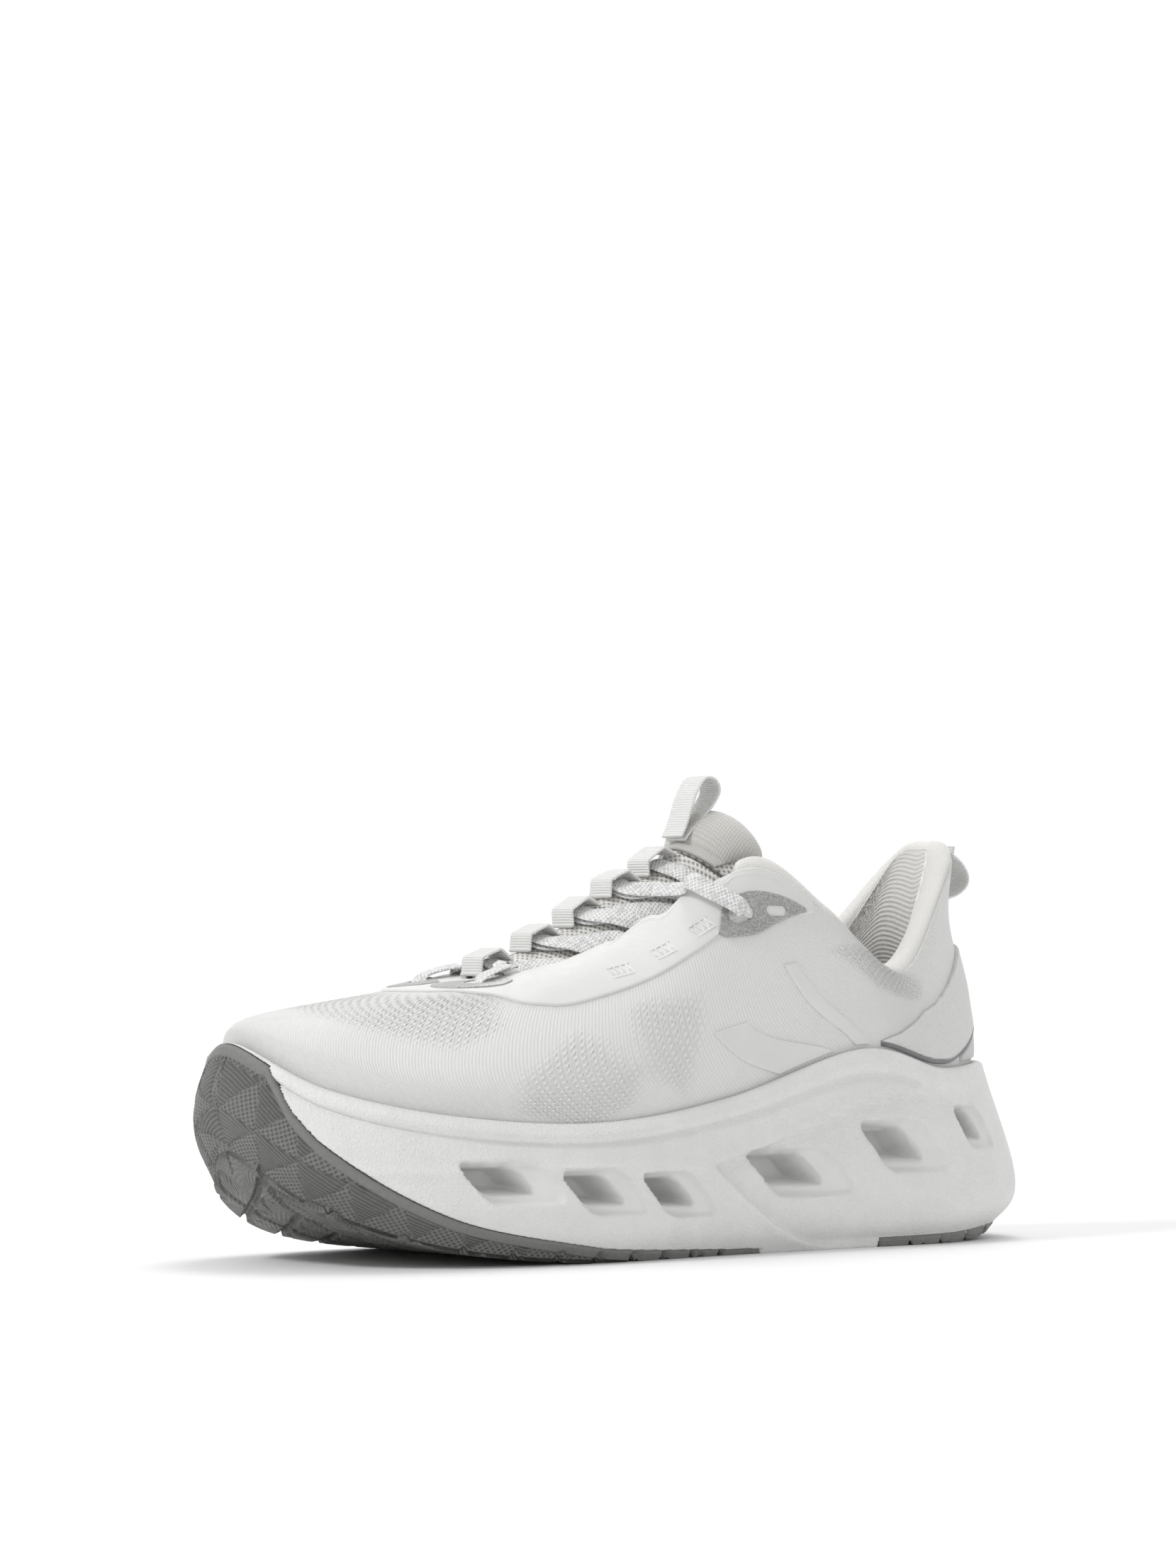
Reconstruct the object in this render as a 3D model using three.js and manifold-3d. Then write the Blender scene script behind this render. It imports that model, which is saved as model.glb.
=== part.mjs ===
// A cushioned running shoe, left foot, as an assembly of separate solids.
// Millimetres. +X points to the toe, +Y to the lateral (outer) side, +Z up.
// The sole stands on z = 0, with the origin under the middle of the shoe.
//
// Three smooth surfaces carry every piece:
//   solePoint(t, w)      the sole's outer wall: w = 0 at the tread's edge, 1 at the rim
//   upperPoint(t, v, d)  the upper: v = 0 in the sole's cup, 1 at the collar and the throat,
//                        d = height above the surface
//   tonguePoint(q, p, h) the tongue: q = 0 at its front, 1 where its free flap begins,
//                        p = -1..1 across, h = height above the surface
// t runs once round the shoe: 0 heel, 4 lateral midfoot, 8 toe, 12 medial midfoot, 16 heel.

import * as THREE from 'three';
import { mergeVertices } from 'three/addons/utils/BufferGeometryUtils.js';
import Module from 'manifold-3d';

const wasm = await Module();
wasm.setup();

// ---------------------------------------------------------------- driving dimensions

const SHOE_LENGTH = 294;          // heel bulge to toe bumper
const BALL_WIDTH = 108;           // across the sole at the ball of the foot
const COLLAR_HEIGHT = 133;        // ground to the top of the heel flare

const RUBBER = 3.2;               // outsole thickness under the foot
const RUBBER_WALL = 2.2;          // and where it turns up the wall
const RUBBER_GAP = 0.45;          // glue line between outsole and midsole
const MESH = 1.5;                 // knit upper thickness
const FILM = 0.6;                 // fused film overlays
const PLATE = 0.6;                // reflective plates on the film
const STRAP = 1.0;                // heel strap
const LINING = 1.0;               // knit collar lining
const COUNTER = 1.6;              // moulded heel stiffener
const TOE_PUFF = 0.8;             // moulded toe stiffener
const COLLAR_PAD = 5.5;           // foam in the ankle collar
const ROLL = 3.8;                 // radius of the padded collar edge
const LAYER_GAP = 0.55;           // clearance between two layers of the upper
const BOARD = 1.4;                // strobel board thickness
const INSOLE_FOAM = 4.0;
const INSOLE_COVER = 0.8;
const INSOLE_INSET = 6.5;         // upper surface to the insole's edge
const TONGUE = 1.4;               // open mesh tongue
const TONGUE_LINING = 0.8;
const PAD_HEIGHT = 9;            // soft pad on the tongue's end
const PAD_LENGTH = 27;
const FLAP_GAP = 1.2;             // slit between the tongue and its free flap
const WEBBING = 1.0;              // grosgrain thickness
const KEEPER_WIDTH = 11;
const KEEPER_LENGTH = 13.5;
const KEEPER_HEIGHT = 4.6;
const PULL_WIDTH = 10.5;
const PULL_LENGTH = 23;           // folded pull tab, base to fold
const HEEL_LOOP_WIDTH = 12;
const HEEL_LOOP_REACH = 8.0;      // how far the heel loop stands off the heel
const LACE_WIDTH = 6.6;
const LACE = 1.0;                 // lace thickness
const LACE_CLEARANCE = 0.4;       // where the lace passes through an edge
const LACE_ROOM = 0.9;             // clearance of a hidden lace to the layer on each side
const AGLET_LENGTH = 18;
const SLOT_LENGTH = 9.5;          // lace slots
const SLOT_WIDTH = 5.6;           // in each top plate
const FRONT_SLOT_WIDTH = 7;       // where the lace rises slowly at the front of the throat

// ---------------------------------------------------------------- the last and the sole

// Rings are drawn at this size and scaled to the driving dimensions.
const DRAWN = [294, 108, 133];
const SCALE = [SHOE_LENGTH / DRAWN[0], BALL_WIDTH / DRAWN[1], COLLAR_HEIGHT / DRAWN[2]];
const ring = (points) => points.map((p) => p.map((c, i) => c * SCALE[i]));

// Each ring has 16 points: heel, five lateral, two toe corners about the toe, medial back to the heel.
const TREAD_EDGE = ring([
  [-137, 0, 5], [-130, 24, 3], [-104, 37, 0], [-60, 39, 0], [-8, 42, 0], [45, 48, 0], [93, 40, 5],
  [126, 19, 17], [140, -9, 33], [133, -29, 21], [106, -42, 7], [60, -47, 0], [5, -40, 0],
  [-52, -34, 0], [-104, -35, 0], [-130, -24, 3]]);
const SOLE_BULGE = ring([
  [-147, 0, 20], [-138, 29, 18], [-108, 43, 16], [-60, 45, 15], [-8, 48, 14], [45, 54, 14], [95, 47, 17],
  [131, 25, 30], [146, -9, 50], [138, -34, 38], [108, -48, 20], [60, -54, 14], [5, -46, 14],
  [-52, -40, 15], [-106, -41, 16], [-138, -29, 18]]);
const RIM = ring([
  [-134.5, 0, 57], [-127, 25, 57], [-101, 37, 55], [-66, 39.5, 62], [-8, 44.5, 47], [45, 49.5, 40],
  [95, 42.5, 43], [127.5, 22.5, 51], [141, -9, 66], [134, -31.5, 57], [108, -43, 46], [60, -48.5, 41],
  [5, -41, 47], [-52, -36, 60], [-101, -35.5, 55], [-127, -25, 57]]);

const UPPER = [
  ring([[-123, 0, 37], [-116, 19, 37], [-94, 29, 37], [-62, 31, 36], [-8, 35, 33], [43, 41, 30],
    [88, 35, 33], [117, 18, 40], [129, -9, 47], [124, -26, 44], [102, -36, 36], [58, -40, 31],
    [5, -33, 33], [-50, -28, 36], [-94, -28, 37], [-116, -19, 37]]),
  ring([[-131, 0, 57], [-124, 22.5, 57], [-99, 33.5, 56], [-65, 36, 62], [-8, 41, 48], [44.5, 46, 42],
    [93, 39, 45], [123.5, 19, 53], [135.8, -9, 64.5], [129.8, -28.5, 58], [106, -40, 47], [59, -44.8, 42],
    [5, -37.6, 48], [-52, -32.5, 60], [-99, -32, 56], [-124, -22.5, 57]]),
  ring([[-131, 0, 80], [-122, 22, 80], [-96, 33, 72], [-63, 35, 80], [-14, 40.5, 67], [40, 45, 57],
    [90, 38.5, 57], [120.5, 18.5, 65], [133.2, -9, 73], [127, -27.5, 69], [102, -39.5, 59], [54, -43.5, 58],
    [0, -37, 67], [-50, -32, 78], [-96, -31, 72], [-122, -21, 80]]),
  ring([[-126.5, 0, 104], [-118, 18.5, 104], [-91, 31.5, 84], [-60, 33, 98], [-22, 34.5, 98],
    [20, 35, 82], [62, 28, 77], [97, 16, 77], [108, -7, 78.5], [101, -22, 77.5], [74, -30, 77],
    [30, -36, 82], [-18, -34, 98], [-54, -31, 98], [-91, -30, 84], [-118, -18.5, 104]]),
  ring([[-130, 0, 130], [-121, 16.5, 125], [-86, 30, 91.5], [-58, 30, 110], [-31, 27, 125],
    [-3, 17, 108.5], [22, 16.5, 95.5], [45, 13, 88], [58, -1, 85], [46, -15, 88], [23, -18, 95.5],
    [-2, -18, 108.5], [-29, -26, 125], [-56, -29, 110], [-86, -29, 91.5], [-121, -16.5, 125]]),
];
const TURN = 16;
const RIM_V = 0.25;               // the upper leaves the sole's cup here
const LIP_V = 0.275;              // overlays start just above the lip

// ---------------------------------------------------------------- small vector helpers

const add = (a, b, k = 1) => [a[0] + b[0] * k, a[1] + b[1] * k, a[2] + b[2] * k];
const sub = (a, b) => [a[0] - b[0], a[1] - b[1], a[2] - b[2]];
const mix = (a, b, k) => [a[0] + (b[0] - a[0]) * k, a[1] + (b[1] - a[1]) * k, a[2] + (b[2] - a[2]) * k];
const cross = (a, b) => [a[1] * b[2] - a[2] * b[1], a[2] * b[0] - a[0] * b[2], a[0] * b[1] - a[1] * b[0]];
const dot = (a, b) => a[0] * b[0] + a[1] * b[1] + a[2] * b[2];
const length = (a) => Math.hypot(a[0], a[1], a[2]);
const unit = (a) => a.map((c) => c / length(a));
const lerp = (a, b, k) => a + (b - a) * k;
const clamp = (x, low = 0, high = 1) => Math.min(high, Math.max(low, x));
const ease = (x) => clamp(x) ** 2 * (3 - 2 * clamp(x));
const steps = (from, to, count) => Array.from({ length: count + 1 }, (_, i) => lerp(from, to, i / count));

// Catmull-Rom curve through four neighbours.
function through(p0, p1, p2, p3, k) {
  return p1.map((c, i) => c + 0.5 * k * (p2[i] - p0[i]
    + k * (2 * p0[i] - 5 * c + 4 * p2[i] - p3[i] + k * (3 * (c - p2[i]) + p3[i] - p0[i]))));
}

// A closed ring of 16 points, at t.
function onRing(points, t) {
  const turn = ((t % TURN) + TURN) % TURN;
  const i = Math.floor(turn);
  const at = (j) => points[(j + TURN) % TURN];
  return through(at(i - 1), at(i), at(i + 1), at(i + 2), turn - i);
}

// An open row of points, at u = 0..1.
function onRow(points, u) {
  const last = points.length - 1;
  const x = clamp(u) * last;
  const i = Math.min(Math.floor(x), last - 1);
  const first = add(points[0], sub(points[0], points[1]));
  const beyond = add(points[last], sub(points[last], points[last - 1]));
  const at = (j) => (j < 0 ? first : j > last ? beyond : points[j]);
  return through(at(i - 1), at(i), at(i + 1), at(i + 2), x - i);
}

// Straight-line interpolation in a list of [position, value] pairs.
function table(pairs, x) {
  const i = pairs.findIndex((pair) => pair[0] >= x);
  if (i <= 0) {
    return i === 0 ? pairs[0][1] : pairs[pairs.length - 1][1];
  }
  return lerp(pairs[i - 1][1], pairs[i][1], (x - pairs[i - 1][0]) / (pairs[i][0] - pairs[i - 1][0]));
}

// ---------------------------------------------------------------- the three surfaces

// Lateral and medial sides share one description: 0 heel to 8 toe.
const fold = (t) => Math.min(((t % TURN) + TURN) % TURN, TURN - (((t % TURN) + TURN) % TURN));

// Outer wall of the sole; d moves a point out of the sole, downwards near the tread.
function solePoint(t, w, d = 0) {
  const wall = onRow([onRing(TREAD_EDGE, t), onRing(SOLE_BULGE, t), onRing(RIM, t)], w);
  const along = sub(onRing(SOLE_BULGE, t + 0.05), onRing(SOLE_BULGE, t - 0.05));
  const out = unit([-along[1], along[0], 0]);
  const tilt = lerp(70, 5, ease(w / 0.4)) * Math.PI / 180;
  const point = [wall[0], wall[1], Math.max(wall[2], 0)];
  const moved = add(point, out, d * Math.cos(tilt));
  return add(moved, [0, 0, -d * Math.sin(tilt)]);
}

function upperBase(t, v) {
  return onRow(UPPER.map((level) => onRing(level, t)), v);
}

function upperPoint(t, v, d = 0) {
  const h = 0.02;
  const along = sub(upperBase(t + h, v), upperBase(t - h, v));
  const up = sub(upperBase(t, Math.min(v + h, 1)), upperBase(t, Math.max(v - h, 0)));
  return add(upperBase(t, v), unit(cross(up, along)), d);
}

// The v that lies a given distance below the upper's top edge, measured along the surface.
function below(t, distance) {
  const h = 0.02;
  let v = 1;
  let left = distance;
  while (left > 0) {
    const step = length(sub(upperBase(t, v), upperBase(t, v - h)));
    v -= h * Math.min(1, left / step);
    left -= step;
  }
  return v;
}

const THROAT_FRONT = 7.75;        // t at the front of the tongue
const THROAT_TOP = 4.3;           // t where the free flap begins

// One cross-section of the tongue: its two edges under the upper, its middle and its up direction.
function tongueSection(q) {
  const t = lerp(THROAT_FRONT, THROAT_TOP, q);
  const under = MESH + 2 * LACE_ROOM + LACE + (2 * ROLL - MESH) * ease((q - 0.7) / 0.3);
  const left = upperPoint(t, 1, -under);
  const right = upperPoint(TURN - t, 1, -under);
  const rise = lerp(5.5, 13.5, q) * SCALE[2];
  return { t, under, left, right, rise, middle: mix(left, right, 0.5) };
}

const THROAT_EDGE = 0.72;         // p where the tongue passes under the upper's edge

function tonguePoint(q, p, h = 0) {
  const base = Math.min(q, 1);
  const { t, under, left, right, rise, middle } = tongueSection(base);
  const ahead = sub(tongueSection(base).middle, tongueSection(base - 0.04).middle);
  const side = unit(sub(left, right));
  const up = unit(cross(side, ahead));
  const half = length(sub(left, right)) / 2;
  let point;
  let normal;
  if (Math.abs(p) <= THROAT_EDGE) {
    const a = p / THROAT_EDGE;
    point = add(add(middle, side, half * a), up, rise * (1 - a * a));
    normal = unit(add(up, side, 2 * rise * a / half));
  } else {
    const v = 1 - (Math.abs(p) - THROAT_EDGE) * 0.4;
    const at = p > 0 ? t : TURN - t;
    point = upperPoint(at, v, -under);
    normal = unit(sub(upperPoint(at, v, 0), upperPoint(at, v, -1)));
  }
  return add(point, normal, h);
}

// ---------------------------------------------------------------- mesh builders

// Triangles of a grid of points, rows by columns, closed either way if asked.
function gridFaces(rows, columns, offset, closeRows, closeColumns, flip, faces) {
  const lastRow = closeRows ? rows : rows - 1;
  const lastColumn = closeColumns ? columns : columns - 1;
  for (let i = 0; i < lastRow; i += 1) {
    for (let j = 0; j < lastColumn; j += 1) {
      const a = offset + i * columns + j;
      const b = offset + ((i + 1) % rows) * columns + j;
      const c = offset + ((i + 1) % rows) * columns + ((j + 1) % columns);
      const d = offset + i * columns + ((j + 1) % columns);
      faces.push(...(flip ? [[a, c, b], [a, d, c]] : [[a, b, c], [a, c, d]]));
    }
  }
}

// Makes the geometry: equal points are welded and collapsed triangles dropped; faces are turned outwards.
function solid(points, faces) {
  const raw = new THREE.BufferGeometry();
  raw.setAttribute('position', new THREE.Float32BufferAttribute(points.flat(), 3));
  raw.setIndex(faces.flat());
  const welded = mergeVertices(raw, 1e-3);
  const index = welded.getIndex().array;
  const kept = [];
  for (let i = 0; i < index.length; i += 3) {
    const [a, b, c] = [index[i], index[i + 1], index[i + 2]];
    if (a !== b && b !== c && c !== a) {
      kept.push(a, b, c);
    }
  }
  const at = welded.getAttribute('position');
  let volume = 0;
  for (let i = 0; i < kept.length; i += 3) {
    const [a, b, c] = [kept[i], kept[i + 1], kept[i + 2]].map((k) => [at.getX(k), at.getY(k), at.getZ(k)]);
    volume += a[0] * (b[1] * c[2] - b[2] * c[1]) - a[1] * (b[0] * c[2] - b[2] * c[0])
      + a[2] * (b[0] * c[1] - b[1] * c[0]);
  }
  if (volume < 0) {
    for (let i = 0; i < kept.length; i += 3) {
      [kept[i + 1], kept[i + 2]] = [kept[i + 2], kept[i + 1]];
    }
  }
  welded.setIndex(kept);
  return welded;
}

// A layer between two surfaces: at(u, v, side), side 0 inside and 1 outside. Its ends in u are
// walls, unless the layer runs all the way round, or closes on itself at a seam there.
function slab(us, vs, at, { closed = false, seams = [false, false] } = {}) {
  const points = [];
  for (const side of [0, 1]) {
    for (const u of us) {
      for (const v of vs) {
        points.push(at(u, v, side));
      }
    }
  }
  const [rows, columns] = [us.length, vs.length];
  const size = rows * columns;
  const faces = [];
  gridFaces(rows, columns, 0, closed, false, false, faces);
  gridFaces(rows, columns, size, closed, false, true, faces);
  const lastRow = closed ? rows : rows - 1;
  for (let i = 0; i < lastRow; i += 1) {
    const next = (i + 1) % rows;
    for (const [j, flip] of [[0, true], [columns - 1, false]]) {
      const [a, b] = [i * columns + j, next * columns + j];
      faces.push(...(flip ? [[a, a + size, b], [b, a + size, b + size]]
        : [[a, b, a + size], [b, b + size, a + size]]));
    }
  }
  if (!closed) {
    for (let j = 0; j < columns - 1; j += 1) {
      for (const [i, flip, seam] of [[0, false, seams[0]], [rows - 1, true, seams[1]]]) {
        if (seam) {
          continue;
        }
        const [a, b] = [i * columns + j, i * columns + j + 1];
        faces.push(...(flip ? [[a, a + size, b], [b, a + size, b + size]]
          : [[a, b, a + size], [b, b + size, a + size]]));
      }
    }
  }
  return solid(points, faces);
}

// A stack of closed rings with a floor and a lid, each ruled from side to side.
function stack(rings) {
  const count = rings[0].length;
  const points = rings.flat();
  const faces = [];
  gridFaces(rings.length, count, 0, false, true, false, faces);
  const ACROSS = 3;
  for (const [start, flip] of [[0, false], [(rings.length - 1) * count, true]]) {
    const rows = [[start, start]];
    for (let i = 1; i < count / 2; i += 1) {
      const [a, b] = [start + i, start + count - i];
      const row = [a];
      for (let k = 1; k < ACROSS; k += 1) {
        points.push(mix(points[a], points[b], k / ACROSS));
        row.push(points.length - 1);
      }
      row.push(b);
      rows.push(row);
    }
    rows[0] = rows[1].map(() => start);
    rows.push(rows[1].map(() => start + count / 2));
    for (let i = 0; i < rows.length - 1; i += 1) {
      for (let k = 0; k < ACROSS; k += 1) {
        const [a, b, c, d] = [rows[i][k], rows[i + 1][k], rows[i + 1][k + 1], rows[i][k + 1]];
        faces.push(...(flip ? [[a, c, b], [a, d, c]] : [[a, b, c], [a, c, d]]));
      }
    }
  }
  return solid(points, faces);
}

// A flat section carried along a path; frames give each station's centre, side and up.
function sweep(frames, section) {
  return tube(frames.map((f) => section.map(([a, b]) => add(add(f.centre, f.side, a), f.up, b))));
}

// A row of closed sections joined up, with flat ends.
function tube(rings) {
  const sides = rings[0].length;
  const faces = [];
  gridFaces(rings.length, sides, 0, false, true, false, faces);
  const last = (rings.length - 1) * sides;
  for (let k = 1; k < sides - 1; k += 1) {
    faces.push([0, k, k + 1], [last, last + k + 1, last + k]);
  }
  return solid(rings.flat(), faces);
}

function toManifold(geometry) {
  const clean = geometry.clone();
  clean.deleteAttribute('normal');
  clean.deleteAttribute('uv');
  const merged = mergeVertices(clean, 1e-4);
  return new wasm.Manifold(new wasm.Mesh({
    numProp: 3,
    vertProperties: new Float32Array(merged.getAttribute('position').array),
    triVerts: new Uint32Array(merged.getIndex().array),
  }));
}

function fromManifold(body) {
  const mesh = body.getMesh();
  const geometry = new THREE.BufferGeometry();
  geometry.setAttribute('position', new THREE.Float32BufferAttribute(mesh.vertProperties, 3));
  geometry.setIndex(Array.from(mesh.triVerts));
  return geometry;
}

const cut = (body, cutters) => fromManifold(cutters.reduce((a, b) => a.subtract(toManifold(b)),
  toManifold(body)));

// ---------------------------------------------------------------- sole

const AROUND = steps(0, TURN, 64).slice(0, -1);
const FOOT_AROUND = steps(0, TURN, 36).slice(0, -1);

// Height of the rubber's edge on the wall, as w, from the heel (0) to the toe (8).
const RUBBER_EDGE = [[0, 0.14], [1, 0.1], [2, 0.06], [3.4, 0.03], [4, 0.06], [5, 0.17], [6, 0.42],
  [6.5, 0.56], [7, 0.7], [7.25, 0.8], [7.5, 1], [8, 1]];
const FOREFOOT_START = 3.75;      // t of the forefoot outsole's rear end
const HEEL_OUTSOLE_END = 2.75;    // t of the heel outsole's front end

// A sheet that covers the bottom and turns up the wall, as thick as the rubber, and thicker by
// spare on every side.
function treadSheet(from, to, spare = 0) {
  const EDGE_SPARE = 1 / 25;
  const WALL = 3;
  const ACROSS = 4;
  const us = steps(from, to, Math.round((to - from) / 0.25));
  const vs = steps(0, 2 * WALL + ACROSS, 2 * WALL + ACROSS);
  return slab(us, vs, (t, column, side) => {
    const edge = Math.min(table(RUBBER_EDGE, t) + spare * EDGE_SPARE, 1);
    const depth = (w) => (side ? 5 * spare : -lerp(RUBBER, RUBBER_WALL, clamp(w / 0.3)) - spare);
    const rise = edge * Math.abs(column < WALL + 1 ? 1 - column / WALL : (column - WALL - ACROSS) / WALL);
    if (column <= WALL) {
      return solePoint(t, rise, depth(rise));
    }
    if (column >= WALL + ACROSS) {
      return solePoint(TURN - t, rise, depth(rise));
    }
    return mix(solePoint(t, 0, depth(0)), solePoint(TURN - t, 0, depth(0)), (column - WALL) / ACROSS);
  }, { seams: [from === 0, to === TURN / 2] });
}

const outsoleForefoot = () => treadSheet(FOREFOOT_START, 8);
const outsoleHeel = () => treadSheet(0, HEEL_OUTSOLE_END);

// Slanted windows moulded into the foam wall: centre x and z, length, height,
// how far the top leans towards the toe, depth.
const WINDOWS = [
  [77, 25, 26, 11, 8, 15], [45, 21.5, 24, 12, 8, 15], [16, 20, 22, 12, 8, 15],
  [-36, 25, 36, 12, 7, 16], [-80, 32, 27, 13, 7, 15], [-113, 37, 14, 14, 6, 12],
];
const WINDOW_CORNER = 4;

// A rounded parallelogram, extruded into the foam from outside.
function windowCutter([x, z, long, high, slant, depth], side) {
  const corner = [[-1, -1], [1, -1], [1, 1], [-1, 1]].map(([a, b]) => [
    (a * long / 2 + b * slant / 2) * SCALE[0], b * high / 2 * SCALE[2]]);
  const shape = new THREE.Shape();
  corner.forEach((here, i) => {
    const before = corner[(i + 3) % 4];
    const after = corner[(i + 1) % 4];
    const from = trim(here, before);
    const to = trim(here, after);
    if (i === 0) {
      shape.moveTo(from[0], from[1]);
    } else {
      shape.lineTo(from[0], from[1]);
    }
    shape.quadraticCurveTo(here[0], here[1], to[0], to[1]);
  });
  shape.closePath();
  const reach = 30;
  const geometry = new THREE.ExtrudeGeometry(shape, { depth: reach, bevelEnabled: false, curveSegments: 4 });
  geometry.rotateX(Math.PI / 2);
  const t = wallTurn(x * SCALE[0], side);
  const wall = solePoint(t, 0.5);
  geometry.translate(x * SCALE[0], wall[1] + (side > 0 ? reach - depth : depth), z * SCALE[2]);
  return geometry;
}

function trim(corner, towards) {
  const reach = Math.hypot(towards[0] - corner[0], towards[1] - corner[1]);
  const k = Math.min(WINDOW_CORNER / reach, 0.45);
  return [lerp(corner[0], towards[0], k), lerp(corner[1], towards[1], k)];
}

// The t on one side of the shoe whose wall stands at x.
function wallTurn(x, side) {
  const candidates = steps(0.5, 7.5, 140).map((t) => (side > 0 ? t : TURN - t));
  const away = (t) => Math.abs(solePoint(t, 0.5)[0] - x);
  return candidates.reduce((best, t) => (away(t) < away(best) ? t : best));
}

function midsole() {
  const CUP_FLOOR = 0.5;
  const rings = steps(0, 1, 5).map((w) => AROUND.map((t) => solePoint(t, w)));
  const cup = steps(RIM_V, 0, 2).map((v) => AROUND.map((t) => upperPoint(t, v, LAYER_GAP)));
  const floor = AROUND.map((t) => add(upperPoint(t, 0, 0), [0, 0, -CUP_FLOOR]));
  const body = stack([...rings, ...cup, floor]);
  const tread = treadSheet(0, 8, RUBBER_GAP);
  const windows = [1, -1].flatMap((side) => WINDOWS.map((w) => windowCutter(w, side)));
  return cut(body, [tread, ...windows]);
}

// ---------------------------------------------------------------- under the foot

// A flat sheet that follows the cup's floor, inset from the upper.
function footSheet(inset, from, to, v = 0.04) {
  const outline = FOOT_AROUND.map((t) => {
    const edge = upperPoint(t, v, -inset);
    return [edge[0], edge[1], upperBase(t, 0)[2]];
  });
  return stack([from, to].map((z) => outline.map((p) => add(p, [0, 0, z]))));
}

const BOARD_INSET = MESH + LAYER_GAP + 0.5;
const INSOLE_FLOOR = BOARD + 0.3;
const strobelBoard = () => footSheet(BOARD_INSET, 0, BOARD, 0);
const insoleFoam = () => footSheet(INSOLE_INSET, INSOLE_FLOOR, INSOLE_FLOOR + INSOLE_FOAM);
const insoleCover = () => {
  const base = INSOLE_FLOOR + INSOLE_FOAM + 0.3;
  return footSheet(INSOLE_INSET, base, base + INSOLE_COVER);
};

// ---------------------------------------------------------------- upper

const COLLAR_FRONT = 4.25;        // t where the padded collar edge ends, each side
const HEM = 2 * ROLL + LAYER_GAP; // the collar edge covers this much of the upper's top
const THROAT_HEM = 3.5;           // the knit stops this far below the film's edge

// Top edge of the knit: under the padded roll at the collar, under the film at the throat.
function knitTop(t) {
  const side = fold(t);
  return side <= COLLAR_FRONT ? below(t, HEM) : below(t, lerp(HEM, THROAT_HEM, ease((side - COLLAR_FRONT) * 2)));
}

const allSlots = () => [1, -1].flatMap((side) => [slotCutter(side, TOP_SLOT), slotCutter(side, FRONT_SLOT)]);

function upperMesh() {
  return cut(slab(AROUND, steps(0, 1, 9), (t, k, side) =>
    upperPoint(t, k * knitTop(t), side ? 0 : -MESH), { closed: true }), allSlots());
}

// Foam thickness in the collar: full at the ankle, thin at the front and low down.
function padDepth(t, v) {
  const front = lerp(1, 0.3, ease((fold(t) - 2.6) / 1.6));
  return COLLAR_PAD * front * ease((v - 0.4) / 0.3);
}

const PAD_START = 0.52;
const LINING_EASE = 0.4;          // the lining lies this much looser over the stiffener
const LINING_FOOT = [0.08, 0.3];  // v of the lining's lower rows
const FOAM_HEM = HEM + 4.2;       // foam and lining end lower, clear of the roll's inner side
const padRows = (t) => steps(PAD_START, below(t, FOAM_HEM), 3);
const inner = (t, v) => MESH + 2 * LAYER_GAP + Math.max(COUNTER + LINING_EASE, padDepth(t, v));

function collarFoam() {
  return slab(steps(-3.75, 3.75, 30), [0, 1, 2, 3], (t, row, side) => {
    const v = padRows(t)[row];
    const depth = Math.max(padDepth(t, v), 0.8);
    return upperPoint(t, v, -(MESH + LAYER_GAP) - (side ? 0 : depth));
  });
}

function collarLining() {
  const lining = slab(steps(-COLLAR_FRONT, COLLAR_FRONT, 34), [0, 1, 2, 3, 4, 5], (t, row, side) => {
    const v = [...LINING_FOOT, ...padRows(t)][row];
    return upperPoint(t, v, -inner(t, v) - (side ? 0 : LINING));
  });
  return cut(lining, [1, -1].map((side) => slotCutter(side, TOP_SLOT)));
}

// The padded roll round the ankle opening, a round section sunk between knit and lining.
function collarRoll() {
  const SIDES = 8;
  const rings = steps(-COLLAR_FRONT, COLLAR_FRONT, 34).map((t) => {
    const top = upperBase(t, 1);
    const drop = unit(sub(upperBase(t, 0.9), top));
    const inward = unit(sub(upperPoint(t, 1, -1), upperPoint(t, 1, 0)));
    const wide = Math.min(ROLL, (inner(t, 1) + LINING) / 2);
    const centre = add(add(top, inward, (inner(t, 1) + LINING) / 2), drop, ROLL);
    return steps(0, 2 * Math.PI, SIDES).slice(0, -1).map((a) =>
      add(add(centre, inward, wide * Math.cos(a)), drop, ROLL * Math.sin(a)));
  });
  return tube(rings);
}

function heelStiffener() {
  return slab(steps(-2.5, 2.5, 20), steps(0.03, 0.47, 3), (t, v, side) =>
    upperPoint(t, v, -(MESH + LAYER_GAP) - (side ? 0 : COUNTER)));
}

function toePuff() {
  return slab(steps(6.5, 9.5, 12), steps(0.05, 0.6, 4), (t, v, side) =>
    upperPoint(t, v, -(MESH + LAYER_GAP) - (side ? 0 : TOE_PUFF)));
}

// ---------------------------------------------------------------- overlays on the upper

// A patch on the upper: low(u) and high(u) give its lower and upper edge as v.
function patch(ts, low, high, rows, from, thick) {
  return slab(ts, steps(0, 1, rows), (t, k, side) =>
    upperPoint(t, lerp(low(t), high(t), k), side ? from + thick : from));
}

const STRAP_TOP = [[0, 0.69], [1, 0.64], [2, 0.55], [2.5, 0.36], [2.75, LIP_V + 0.02]];
const STRAP_FOOT = [[0, 0.46], [1, 0.37], [1.75, LIP_V], [3, LIP_V]];

function heelStrap() {
  return patch(steps(-2.75, 2.75, 22), (t) => table(STRAP_FOOT, fold(t)), (t) => table(STRAP_TOP, fold(t)),
    3, LAYER_GAP, STRAP);
}

function heelCup() {
  const edge = 0.02;
  return patch(steps(-1.5, 1.5, 12), () => LIP_V, (t) => table(STRAP_FOOT, fold(t)) - edge, 2,
    LAYER_GAP, STRAP);
}

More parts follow.
